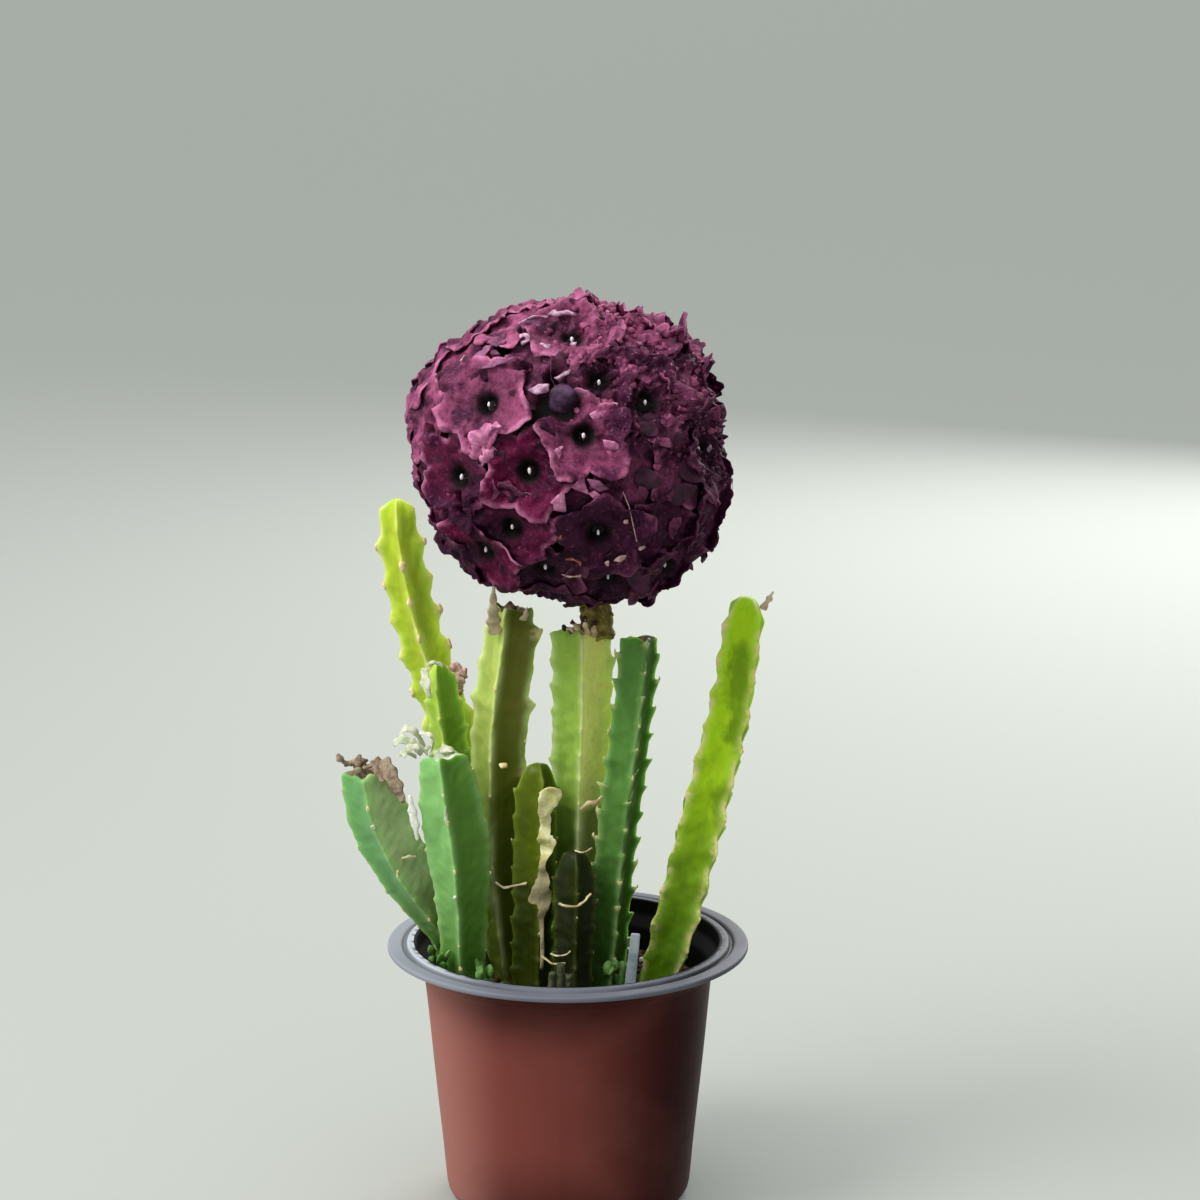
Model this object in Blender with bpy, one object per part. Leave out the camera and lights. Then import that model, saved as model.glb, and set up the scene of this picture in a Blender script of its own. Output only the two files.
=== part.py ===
"""Potted caralluma: a nursery pot of soil, a clump of four-angled stems and one ball-shaped flower head.

Metres, +Z up. The origin is the middle of the pot's flat base, and -Y is the front.
"""

import math
from dataclasses import dataclass

import bmesh
import bpy
import numpy as np
from mathutils import Matrix, Vector

# Clearance left between pieces that touch
GAP = 0.0003

# Pot
RIM_RADIUS = 0.0500
RIM_TOP = 0.0729
RIM_THICKNESS = 0.0011
RIM_INNER_RADIUS = 0.0420
RIM_BEAD_RISE = 0.0004
GROOVE_RADIUS = 0.0454
GROOVE_HALF_WIDTH = 0.0009
GROOVE_DEPTH = 0.0008
BODY_TOP = 0.0660
BODY_TOP_RADIUS = 0.0401
BODY_BASE_RADIUS = 0.0337
BASE_CORNER = 0.0040
WALL = 0.0010
FLOOR = 0.0012
POT_SIDES = 48
DRAIN_HOLES = 5
DRAIN_RING_RADIUS = 0.0200
DRAIN_RADIUS = 0.0030
DRAIN_SIDES = 12

# Soil
SOIL_TOP = 0.0600
SOIL_RELIEF = 0.0011
SOIL_WAVE = 0.0110
SOIL_RING_STEP = 0.0052
SOIL_SIDES = 36
HOLE_DEPTH = 0.0110
HOLE_SIDES = 16
HOLE_CLEARANCE = 1.5 * GAP

# Stems
CORNERS = 4
TOOTH_PITCH = 0.0072
TOOTH_HEIGHT = 0.0010
TOOTH_LEAN = 0.0009
FACE_HOLLOW = 0.60
FOOT_ROUNDNESS = 0.96
FOOT_LENGTH = 0.0090
ROUND_TIP_LENGTH = 0.0080
ROUND_TIP_STEPS = (0.45, 0.80, 0.97)
CUT_TIP_LENGTH = 0.0016
CUT_TIP_SHARE = 0.88
CUT_TIP_DISH = 0.0012
LINE_STEPS = 24

# Flower stalk, from inside the top of the flower stem to inside the head
STALK_START = Vector((0.0096, 0.0015, 0.1560))
STALK_END = Vector((0.0066, 0.0010, 0.1790))
STALK_RADIUS = 0.0044
STALK_END_RADIUS = 0.0032
STALK_SIDES = 10
SOCKET_CLEARANCE = 1.2 * GAP

# Flower head
HEAD_CENTRE = Vector((0.0005, 0.0, 0.2096))
HEAD_RADIUS = 0.0473
HEAD_FLAT_SHARE = 0.10
HEAD_FLAT_SPREAD = 0.30
HEAD_FLAT_TOWARDS = Vector((-0.42, -0.10, -0.90))
HEAD_SQUARENESS = 0.028
HEAD_SQUAT = 0.030
CORE_DEPTH = 0.0064
TIP_DEPTH = 0.0002
NOTCH_DEPTH = 0.0028
THROAT_DEPTH = 0.0026
FLORETS = 76
FLORET_LOBES = 5
LOBE_REACH = 0.0134
NOTCH_REACH = 0.0086
LOBE_CLEARANCE = 0.0003
THROAT_REACH = 0.0024
FLORET_THICKNESS = 0.0010
PIT_DEPTH = 0.0026
FLORET_ROOT_DEPTH = 0.0110
FLORET_SINK = 0.0014
LOBE_CURL = 0.0006
FLORET_SIZES = (0.94, 1.08)
UNDERSIDE_SHARE = 0.92
SPREAD_ROUNDS = 300
SPREAD_PUSH = 0.002
SPREAD_EASE = 60
SPREAD_LIMIT = 0.08
HEAD_SEED = 11

# Points nearer than this are one point once pieces are fused
SAME_POINT = 2e-6

# Where the large front florets face, in degrees: azimuth from -Y towards +X, then elevation
FRONT_FLORETS = [
    (-34, 27), (6, 17), (-14, 4), (-44, -1), (15, 38), (-22, -18), (-38, -30),
    (-11, -38), (12, -20), (34, 28), (22, -45), (63, 7), (3, 60),
]

# Plant label
LABEL_WIDTH = 0.0034
LABEL_THICKNESS = 0.0008
LABEL_FOOT = Vector((0.0158, -0.0180, 0.0530))
LABEL_TOP = Vector((0.0186, -0.0180, 0.0805))

# Dried husk on the middle short stem: height, sideways place and half-width of the strip
HUSK_THICKNESS = 0.0008
HUSK_FRONT = -0.0170
HUSK_STATIONS = [
    (0.1215, -0.0046, 0.0030), (0.1175, -0.0052, 0.0040), (0.1130, -0.0056, 0.0022),
    (0.1080, -0.0064, 0.0030), (0.1030, -0.0070, 0.0014), (0.0975, -0.0076, 0.0024),
    (0.0915, -0.0078, 0.0027), (0.0870, -0.0073, 0.0018), (0.0800, -0.0070, 0.0010),
    (0.0700, -0.0072, 0.0009),
]


@dataclass
class Stem:
    """One four-angled stem: where it stands, the line it grows along, and its corner radius at each point."""

    name: str
    colour: tuple
    stand: tuple
    line: list
    radii: list
    turn: float = 0.0
    foot: float = 0.0055
    rounded: bool = True


STEMS = [
    Stem("left_tall_stem", (0.42, 0.55, 0.06), (-0.0120, 0.0240),
         [(-0.0165, 0.0245, 0.075), (-0.0242, 0.0245, 0.100), (-0.0321, 0.0240, 0.125),
          (-0.0377, 0.0235, 0.143), (-0.0427, 0.0230, 0.160), (-0.0464, 0.0230, 0.180),
          (-0.0478, 0.0230, 0.194)],
         [0.0056, 0.0060, 0.0062, 0.0062, 0.0060, 0.0056, 0.0050]),
    Stem("left_shoot", (0.12, 0.26, 0.04), (-0.0220, 0.0150),
         [(-0.0245, 0.0125, 0.075), (-0.0285, 0.0090, 0.097), (-0.0318, 0.0068, 0.122),
          (-0.0338, 0.0055, 0.138), (-0.0354, 0.0055, 0.151)],
         [0.0050, 0.0054, 0.0056, 0.0052, 0.0036], turn=-15.0, foot=0.0045),
    Stem("left_middle_stem", (0.30, 0.42, 0.10), (-0.0155, 0.0040),
         [(-0.0170, 0.0020, 0.072), (-0.0190, 0.0010, 0.098), (-0.0191, 0.0010, 0.124),
          (-0.0180, 0.0010, 0.141), (-0.0160, 0.0010, 0.156), (-0.0152, 0.0010, 0.1672)],
         [0.0062, 0.0076, 0.0078, 0.0078, 0.0074, 0.0062], turn=-14.0, rounded=False),
    Stem("middle_short_stem", (0.20, 0.27, 0.04), (-0.0100, -0.0090),
         [(-0.0098, -0.0090, 0.073), (-0.0092, -0.0090, 0.098), (-0.0086, -0.0090, 0.115),
          (-0.0080, -0.0090, 0.1262)],
         [0.0058, 0.0060, 0.0060, 0.0052], turn=20.0),
    Stem("flower_stem", (0.27, 0.40, 0.08), (0.0010, 0.0030),
         [(0.0020, 0.0010, 0.080), (0.0028, 0.0, 0.105), (0.0034, 0.0, 0.125),
          (0.0040, 0.0, 0.141), (0.0040, 0.0, 0.1612)],
         [0.0068, 0.0076, 0.0079, 0.0081, 0.0084], rounded=False),
    Stem("blue_green_stem", (0.09, 0.24, 0.09), (0.0095, -0.0090),
         [(0.0107, -0.0095, 0.071), (0.0130, -0.0090, 0.100), (0.0147, -0.0080, 0.115),
          (0.0165, -0.0070, 0.129), (0.0184, -0.0060, 0.145), (0.0195, -0.0050, 0.1600)],
         [0.0056, 0.0058, 0.0058, 0.0058, 0.0056, 0.0056], turn=18.0, rounded=False),
    Stem("front_short_stem", (0.10, 0.13, 0.03), (0.0010, -0.0200),
         [(0.0014, -0.0182, 0.070), (0.0019, -0.0165, 0.088), (0.0020, -0.0160, 0.1035)],
         [0.0052, 0.0055, 0.0052], turn=8.0, foot=0.0050),
    Stem("right_tall_stem", (0.30, 0.50, 0.02), (0.0245, -0.0060),
         [(0.0275, -0.0065, 0.072), (0.0320, -0.0060, 0.089), (0.0370, -0.0050, 0.109),
          (0.0418, -0.0040, 0.129), (0.0452, -0.0030, 0.145), (0.0473, -0.0020, 0.159),
          (0.0490, -0.0020, 0.1710)],
         [0.0074, 0.0080, 0.0079, 0.0077, 0.0073, 0.0070, 0.0062], turn=38.0, foot=0.0058),
    Stem("far_left_stem", (0.14, 0.34, 0.14), (-0.0275, 0.0020),
         [(-0.0306, 0.0010, 0.070), (-0.0352, -0.0012, 0.079), (-0.0422, -0.0028, 0.090),
          (-0.0483, -0.0040, 0.101), (-0.0522, -0.0040, 0.111), (-0.0545, -0.0040, 0.1225)],
         [0.0056, 0.0064, 0.0080, 0.0087, 0.0088, 0.0080], turn=-6.0, rounded=False),
    Stem("front_left_stem", (0.15, 0.36, 0.12), (-0.0245, -0.0130),
         [(-0.0282, -0.0130, 0.069), (-0.0288, -0.0140, 0.088), (-0.0297, -0.0150, 0.104),
          (-0.0315, -0.0160, 0.117), (-0.0335, -0.0160, 0.1300)],
         [0.0058, 0.0074, 0.0090, 0.0088, 0.0066], turn=-8.0, rounded=False),
]


def clear_scene():
    """Take away whatever the file opened with."""
    for thing in list(bpy.data.objects):
        bpy.data.objects.remove(thing, do_unlink=True)


def principled(name, colour, roughness, metallic=0.0):
    """A plain material in one colour."""
    material = bpy.data.materials.new(name)
    material.use_nodes = True
    shader = material.node_tree.nodes["Principled BSDF"]
    shader.inputs["Base Color"].default_value = (*colour, 1.0)
    shader.inputs["Roughness"].default_value = roughness
    shader.inputs["Metallic"].default_value = metallic
    return material


def object_from(name, mesh_builder, material=None, collection=None):
    """Turn a bmesh into an object, faces turned outwards."""
    bmesh.ops.recalc_face_normals(mesh_builder, faces=mesh_builder.faces)
    mesh = bpy.data.meshes.new(name)
    mesh_builder.to_mesh(mesh)
    mesh_builder.free()
    thing = bpy.data.objects.new(name, mesh)
    (collection or bpy.context.scene.collection).objects.link(thing)
    if material:
        mesh.materials.append(material)
    return thing


def skin_rings(mesh_builder, rings):
    """Join rings of points, all of one length, with a strip of faces between each pair."""
    made = [[mesh_builder.verts.new(point) for point in ring] for ring in rings]
    count = len(made[0])
    for lower, upper in zip(made, made[1:]):
        for k in range(count):
            nxt = (k + 1) % count
            mesh_builder.faces.new((lower[k], lower[nxt], upper[nxt], upper[k]))
    return made


def close_ring(mesh_builder, ring, point):
    """Close a ring with a fan to one point."""
    tip = mesh_builder.verts.new(point)
    for k in range(len(ring)):
        mesh_builder.faces.new((ring[k], ring[(k + 1) % len(ring)], tip))


def turned(name, profile, sides, material, lift=None):
    """Turn a profile of (radius, height) points, which starts and ends on the axis, about Z."""
    mesh_builder = bmesh.new()
    rings = []
    for radius, height in profile[1:-1]:
        ring = []
        for k in range(sides):
            angle = 2 * math.pi * k / sides
            x, y = radius * math.cos(angle), radius * math.sin(angle)
            ring.append((x, y, height + (lift(x, y, height) if lift else 0.0)))
        rings.append(ring)
    made = skin_rings(mesh_builder, rings)
    close_ring(mesh_builder, made[0], (0, 0, profile[0][1]))
    close_ring(mesh_builder, made[-1], (0, 0, profile[-1][1]))
    return object_from(name, mesh_builder, material)


def outer_wall_radius(height):
    """The pot's outer radius at a height on its tapered wall."""
    share = (height - BASE_CORNER) / (BODY_TOP - BASE_CORNER)
    return BODY_BASE_RADIUS + (BODY_TOP_RADIUS - BODY_BASE_RADIUS) * share


def corner_arc(centre_radius, centre_height, radius, steps):
    """A quarter round from straight down to straight out."""
    turns = [-math.pi / 2 + math.pi / 2 * k / steps for k in range(steps + 1)]
    return [(centre_radius + radius * math.cos(t), centre_height + radius * math.sin(t)) for t in turns]


def build_pot():
    """One moulded shell: flat base with drain holes, tapered wall, stacking step, grooved rim."""
    step_radius = RIM_INNER_RADIUS + WALL
    under_rim = RIM_TOP - RIM_THICKNESS
    outside = [(0.0, 0.0)]
    outside += corner_arc(BODY_BASE_RADIUS - BASE_CORNER, BASE_CORNER, BASE_CORNER, 3)
    outside += [
        (BODY_TOP_RADIUS, BODY_TOP),
        (step_radius, BODY_TOP + 2 * WALL),
        (step_radius, under_rim - RIM_THICKNESS / 2),
        (RIM_RADIUS - RIM_THICKNESS, under_rim - RIM_THICKNESS / 2),
        (RIM_RADIUS, under_rim),
    ]
    bead = RIM_TOP + RIM_BEAD_RISE
    over_rim = [
        (RIM_RADIUS, RIM_TOP - RIM_THICKNESS / 2),
        (RIM_RADIUS - RIM_THICKNESS / 2, RIM_TOP),
        (GROOVE_RADIUS + GROOVE_HALF_WIDTH, RIM_TOP),
        (GROOVE_RADIUS, RIM_TOP - GROOVE_DEPTH),
        (GROOVE_RADIUS - GROOVE_HALF_WIDTH, bead),
        (RIM_INNER_RADIUS + WALL, bead),
        (RIM_INNER_RADIUS, RIM_TOP),
    ]
    inside = [
        (RIM_INNER_RADIUS, BODY_TOP + 3 * WALL),
        (BODY_TOP_RADIUS - WALL, BODY_TOP),
    ]
    inner_corner = BASE_CORNER - WALL
    inside += corner_arc(BODY_BASE_RADIUS - BASE_CORNER, FLOOR + inner_corner, inner_corner, 2)[::-1]
    inside += [(0.0, FLOOR)]
    plastic = principled("pot_plastic", (0.20, 0.06, 0.05), 0.4)
    pot = turned("pot", outside + over_rim + inside, POT_SIDES, plastic)
    holes = bpy.data.collections.new("drain_cutters")
    bpy.context.scene.collection.children.link(holes)
    for k in range(DRAIN_HOLES):
        angle = 2 * math.pi * (k + 0.5) / DRAIN_HOLES
        middle = Vector((math.cos(angle), math.sin(angle), 0)) * DRAIN_RING_RADIUS
        cutter("drain_cutter", middle - Vector((0, 0, FLOOR)), 3 * FLOOR, DRAIN_RADIUS, DRAIN_SIDES, holes)
    cut_with(pot, holes)
    return pot


def cutter(name, base, length, radius, sides, collection):
    """An upright round bar that cuts a hole, hidden in renders."""
    mesh_builder = bmesh.new()
    rings = []
    for height in (0.0, length):
        turns = [2 * math.pi * k / sides for k in range(sides)]
        rings.append([base + Vector((radius * math.cos(t), radius * math.sin(t), height)) for t in turns])
    made = skin_rings(mesh_builder, rings)
    mesh_builder.faces.new(made[0][::-1])
    mesh_builder.faces.new(made[1])
    return hide(object_from(name, mesh_builder, collection=collection))


def hide(thing):
    """Mark an object as a helper."""
    thing.hide_render = True
    thing.display_type = "WIRE"
    return thing


def cut_with(thing, collection):
    """Cut every object of a collection out of a piece."""
    modifier = thing.modifiers.new("cut", "BOOLEAN")
    modifier.operation = "DIFFERENCE"
    modifier.operand_type = "COLLECTION"
    modifier.collection = collection
    modifier.solver = "EXACT"


def soil_lift(x, y, height):
    """Low crumbs on top of the soil, nothing on its sides or foot."""
    if height < SOIL_TOP - GAP:
        return 0.0
    fade = max(0.0, 1.0 - (math.hypot(x, y) / (BODY_TOP_RADIUS - 2 * WALL)) ** 8)
    across, deep = 2 * math.pi * x / SOIL_WAVE, 2 * math.pi * y / SOIL_WAVE
    waves = math.sin(across + 1.3) * math.cos(1.1 * deep) + 0.6 * math.sin(2.2 * deep + 1.6 * across)
    return SOIL_RELIEF * 0.5 * waves * fade


def build_soil():
    """The soil column, with a plain round hole for each stem and a slot for the label."""
    inner_floor = FLOOR + GAP
    low_radius = BODY_BASE_RADIUS - BASE_CORNER
    corner_height = BASE_CORNER + GAP
    profile = [(0.0, inner_floor), (low_radius, inner_floor)]
    profile += [(outer_wall_radius(corner_height) - WALL - 2 * GAP, corner_height)]
    top_radius = outer_wall_radius(SOIL_TOP) - WALL - 2 * GAP
    profile += [(top_radius, SOIL_TOP - 2 * GAP)]
    rings = int(top_radius / SOIL_RING_STEP)
    profile += [(top_radius * k / (rings + 1), SOIL_TOP) for k in range(rings, 0, -1)]
    profile += [(0.0, SOIL_TOP)]
    mix = principled("potting_mix", (0.03, 0.02, 0.015), 0.95)
    soil = turned("soil", profile, SOIL_SIDES, mix, soil_lift)
    holes = bpy.data.collections.new("soil_cutters")
    bpy.context.scene.collection.children.link(holes)
    for stem in STEMS:
        base = Vector((*stem.stand, SOIL_TOP - HOLE_DEPTH))
        cutter(stem.name + "_hole", base, 2 * HOLE_DEPTH, stem.foot + HOLE_CLEARANCE, HOLE_SIDES, holes)
    hide(strip_between("label_slot", LABEL_FOOT, LABEL_TOP, LABEL_WIDTH, LABEL_THICKNESS, GAP, None, holes))
    cut_with(soil, holes)
    return soil


def strip_between(name, foot, top, width, thickness, grow, material, collection=None):
    """A flat upright strip from foot to top, its face to the front, grown all round by grow."""
    mesh_builder = bmesh.new()
    along = (top - foot).normalized()
    across = Vector((0, 1, 0)).cross(along).normalized()
    front = Vector((0, 1, 0))
    rings = []
    for end, share in ((foot - along * grow, 1.0), (top, 0.75)):
        half = across * (width / 2 * share + grow)
        deep = front * (thickness / 2 + grow)
        rings.append([end - half - deep, end + half - deep, end + half + deep, end - half + deep])
    made = skin_rings(mesh_builder, rings)
    mesh_builder.faces.new(made[0][::-1])
    mesh_builder.faces.new(made[1])
    return object_from(name, mesh_builder, material, collection)


def build_label():
    """The plain flat label stuck in the soil."""
    material = principled("label_plastic", (0.55, 0.60, 0.62), 0.5)
    return strip_between("plant_label", LABEL_FOOT, LABEL_TOP, LABEL_WIDTH, LABEL_THICKNESS, 0.0, material)


def stem_axis(stem):
    """Points, directions and corner radii every half tooth along a stem, upright where it leaves the soil."""
    x, y = stem.stand
    points = [Vector((x, y, SOIL_TOP + 2 * GAP))] + [Vector(p) for p in stem.line]
    radii = [stem.foot] + stem.radii
    slopes = [Vector((0, 0, (points[1] - points[0]).length))]
    slopes += [(after - before) / 2 for before, after in zip(points, points[2:])]
    slopes += [points[-1] - points[-2]]
    dense = []
    for k in range(len(points) - 1):
        for step in range(LINE_STEPS):
            t = step / LINE_STEPS
            place = (
                points[k] * (2 * t**3 - 3 * t**2 + 1) + slopes[k] * (t**3 - 2 * t**2 + t)
                + points[k + 1] * (3 * t**2 - 2 * t**3) + slopes[k + 1] * (t**3 - t**2)
            )
            dense.append((place, radii[k] + (radii[k + 1] - radii[k]) * t))
    dense.append((points[-1], radii[-1]))
    lengths = [0.0]
    for (a, _), (b, _) in zip(dense, dense[1:]):
        lengths.append(lengths[-1] + (b - a).length)
    return dense, lengths


def at_length(dense, lengths, distance):
    """Point, direction and radius at a distance along a stem's line."""
    k = min(max(int(np.searchsorted(lengths, distance)), 1), len(lengths) - 1)
    share = (distance - lengths[k - 1]) / (lengths[k] - lengths[k - 1])
    (a, ra), (b, rb) = dense[k - 1], dense[k]
    return a.lerp(b, share), (b - a).normalized(), ra + (rb - ra) * share


def stem_section(place, direction, side, radius, hollow, tooth, phase):
    """Eight points round the stem: four ridges, with a tooth on every other one, and four hollow faces."""
    other = direction.cross(side)
    ring = []
    for k in range(2 * CORNERS):
        angle = math.pi * k / CORNERS
        outward = side * math.cos(angle) + other * math.sin(angle)
        if k % 2:
            ring.append(place + outward * radius * hollow)
        else:
            rise = tooth if (k // 2 + phase) % 2 else 0.0
            ring.append(place + outward * (radius + rise) + direction * rise * TOOTH_LEAN / TOOTH_HEIGHT)
    return ring


def build_stem(stem, material):
    """A toothed, four-angled stem with a round foot in the soil."""
    dense, lengths = stem_axis(stem)
    total = lengths[-1]
    tip = ROUND_TIP_LENGTH if stem.rounded else CUT_TIP_LENGTH
    rows = round((total - tip) / (TOOTH_PITCH / 2))
    stations = [((total - tip) * k / rows, 1.0) for k in range(rows + 1)]
    if stem.rounded:
        stations += [(total - tip + tip * s, math.sqrt(1 - s * s)) for s in ROUND_TIP_STEPS]
    else:
        stations.append((total, CUT_TIP_SHARE))
    turn = math.radians(stem.turn)
    side = Vector((math.sin(turn), -math.cos(turn), 0))
    foot = Vector((*stem.stand, SOIL_TOP - HOLE_DEPTH + GAP))
    up = Vector((0, 0, 1))
    rings = [stem_section(foot, up, side, stem.foot, FOOT_ROUNDNESS, 0.0, 0)]
    for phase, (distance, shrink) in enumerate(stations):
        place, direction, radius = at_length(dense, lengths, distance)
        side = (side - direction * side.dot(direction)).normalized()
        grown = min(1.0, distance / FOOT_LENGTH)
        hollow = FOOT_ROUNDNESS + (FACE_HOLLOW - FOOT_ROUNDNESS) * grown
        hollow += (1 - shrink) * (FOOT_ROUNDNESS - hollow)
        tooth = TOOTH_HEIGHT * grown * (shrink if distance < total - tip / 2 else 0.0)
        if phase == 0:
            direction = up
        rings.append(stem_section(place, direction, side, radius * shrink, hollow, tooth, phase))
    mesh_builder = bmesh.new()
    made = skin_rings(mesh_builder, rings)
    mesh_builder.faces.new(made[0][::-1])
    end, direction, _ = at_length(dense, lengths, total)
    close_ring(mesh_builder, made[-1], end + direction * (GAP if stem.rounded else -CUT_TIP_DISH))
    return object_from(stem.name, mesh_builder, material)


def applied(thing):
    """Replace an object's mesh with what its modifiers make of it."""
    bpy.context.view_layer.update()
    graph = bpy.context.evaluated_depsgraph_get()
    mesh = bpy.data.meshes.new_from_object(thing.evaluated_get(graph))
    thing.modifiers.clear()
    thing.data = mesh
    return thing


def fuse(thing, collection):
    """Join every object of a collection to a piece, then take the collection's objects away."""
    modifier = thing.modifiers.new("join", "BOOLEAN")
    modifier.operation = "UNION"
    modifier.operand_type = "COLLECTION"
    modifier.collection = collection
    modifier.solver = "EXACT"
    applied(thing)
    for other in list(collection.objects):
        bpy.data.objects.remove(other, do_unlink=True)
    bpy.data.collections.remove(collection)
    keep_largest_body(thing)


def keep_largest_body(thing):
    """Fill the hollows that fusing sealed, and drop loose scraps."""
    mesh_builder = bmesh.new()
    mesh_builder.from_mesh(thing.data)
    bmesh.ops.remove_doubles(mesh_builder, verts=mesh_builder.verts, dist=SAME_POINT)
    bmesh.ops.dissolve_degenerate(mesh_builder, edges=mesh_builder.edges, dist=SAME_POINT)
    bmesh.ops.triangulate(mesh_builder, faces=mesh_builder.faces)
    left = set(mesh_builder.verts)
    bodies = []
    while left:
        start = left.pop()
        body, queue = {start}, [start]
        while queue:
            for edge in queue.pop().link_edges:
                for vert in edge.verts:
                    if vert in left:
                        left.remove(vert)
                        body.add(vert)
                        queue.append(vert)
        bodies.append(body)
    largest = max(bodies, key=len)
    stray = [v for body in bodies if body is not largest for v in body]
    bmesh.ops.delete(mesh_builder, geom=stray, context="VERTS")
    mesh_builder.to_mesh(thing.data)
    mesh_builder.free()


def stalk_bar(name, start, end, start_radius, end_radius, collection):
    """A tapered round bar between two points."""
    mesh_builder = bmesh.new()
    along = (end - start).normalized()
    side = along.orthogonal().normalized()
    other = along.cross(side)
    rings = []
    for place, radius in ((start, start_radius), (end, end_radius)):
        turns = [2 * math.pi * k / STALK_SIDES for k in range(STALK_SIDES)]
        rings.append([place + (side * math.cos(t) + other * math.sin(t)) * radius for t in turns])
    made = skin_rings(mesh_builder, rings)
    mesh_builder.faces.new(made[0][::-1])
    mesh_builder.faces.new(made[1])
    return object_from(name, mesh_builder, collection=collection)


def spread_directions():
    """Directions of all florets: the front ones as listed, the rest pushed apart until they are even."""
    fixed = []
    for azimuth, elevation in FRONT_FLORETS:
        a, e = math.radians(azimuth), math.radians(elevation)
        fixed.append((math.sin(a) * math.cos(e), -math.cos(a) * math.cos(e), math.sin(e)))
    draws = np.random.default_rng(HEAD_SEED)
    free = draws.normal(size=(FLORETS - len(fixed), 3))
    places = np.vstack([np.array(fixed), free])
    places /= np.linalg.norm(places, axis=1)[:, None]
    for step in range(SPREAD_ROUNDS):
        apart = places[:, None] - places[None]
        distance = np.linalg.norm(apart, axis=2) + np.eye(len(places))
        push = (apart / distance[..., None] ** 4).sum(axis=1)
        push *= SPREAD_PUSH / (1 + step / SPREAD_EASE)
        push[: len(fixed)] = 0.0
        places = places + np.clip(push, -SPREAD_LIMIT, SPREAD_LIMIT)
        places /= np.linalg.norm(places, axis=1)[:, None]
    return [Vector(p) for p in places], draws


def head_radius(direction):
    """The head's radius in a direction: a ball a little square and squat, and flat at its lower left."""
    angle = math.atan2(direction.z, direction.x)
    square = -math.cos(4 * angle) * HEAD_SQUARENESS * (1 - direction.y**2)
    away = direction.angle(HEAD_FLAT_TOWARDS)
    flat = HEAD_FLAT_SHARE * math.exp(-(away**2) / (2 * HEAD_FLAT_SPREAD**2))
    return HEAD_RADIUS * (1 + square - flat - HEAD_SQUAT * direction.z**2)


def head_point(frame, reach, angle, depth):
    """A point of a floret: reach along the head's surface from its middle, depth below the head's outside."""
    bend = reach / HEAD_RADIUS
    local = Vector((math.sin(bend) * math.cos(angle), math.sin(bend) * math.sin(angle), math.cos(bend)))
    direction = frame @ local
    return HEAD_CENTRE + direction * (head_radius(direction) - depth)


def room_towards(direction, across, others):
    """How far a lobe may reach over the head before it meets the next floret's share of the surface."""
    room = LOBE_REACH
    for other in others:
        towards = across.dot(other)
        if towards > 0.05 and other is not direction:
            room = min(room, HEAD_RADIUS * math.atan((1 - direction.dot(other)) / towards))
    return room - LOBE_CLEARANCE


def build_floret(k, direction, others, draws, collection):
    """A shallow five-lobed corolla with a deep throat, on a root that is sunk into the core."""
    spin = Matrix.Rotation(draws.uniform(0, 2 * math.pi), 3, "Z")
    frame = direction.to_track_quat("Z", "Y").to_matrix() @ spin
    sink = draws.uniform(0.0, FLORET_SINK)
    size = draws.uniform(*FLORET_SIZES)
    mesh_builder = bmesh.new()
    throat, rim, under = [], [], []
    for lobe in range(FLORET_LOBES):
        middle = 2 * math.pi * lobe / FLORET_LOBES
        between = middle + math.pi / FLORET_LOBES
        curl = draws.uniform(-LOBE_CURL, LOBE_CURL)
        reaches = []
        for angle, wish in ((middle, LOBE_REACH * size), (between, NOTCH_REACH * size)):
            across = frame @ Vector((math.cos(angle), math.sin(angle), 0))
            reaches.append(min(wish, room_towards(direction, across, others)))
        tip_depth = sink + curl + TIP_DEPTH
        notch_depth = sink + NOTCH_DEPTH
        throat.append(mesh_builder.verts.new(head_point(frame, THROAT_REACH, middle, sink + THROAT_DEPTH)))
        for reach, angle, depth in ((reaches[0], middle, tip_depth), (reaches[1], between, notch_depth)):
            rim.append(mesh_builder.verts.new(head_point(frame, reach, angle, depth)))
            lower = head_point(frame, reach * UNDERSIDE_SHARE, angle, depth + FLORET_THICKNESS)
            under.append(mesh_builder.verts.new(lower))
    pit = mesh_builder.verts.new(head_point(frame, 0.0, 0.0, sink + THROAT_DEPTH + PIT_DEPTH))
    root = mesh_builder.verts.new(head_point(frame, 0.0, 0.0, FLORET_ROOT_DEPTH))
    for lobe in range(FLORET_LOBES):
        nxt = (lobe + 1) % FLORET_LOBES
        tip, notch, next_tip = rim[2 * lobe], rim[2 * lobe + 1], rim[2 * nxt]
        mesh_builder.faces.new((pit, throat[lobe], throat[nxt]))
        mesh_builder.faces.new((throat[lobe], tip, notch))
        mesh_builder.faces.new((throat[lobe], notch, throat[nxt]))
        mesh_builder.faces.new((throat[nxt], notch, next_tip))
    count = len(rim)
    for j in range(count):
        nxt = (j + 1) % count
        mesh_builder.faces.new((rim[j], under[j], under[nxt]))
        mesh_builder.faces.new((rim[j], under[nxt], rim[nxt]))
        mesh_builder.faces.new((under[j], root, under[nxt]))
    object_from(f"floret_{k}", mesh_builder, collection=collection)


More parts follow.
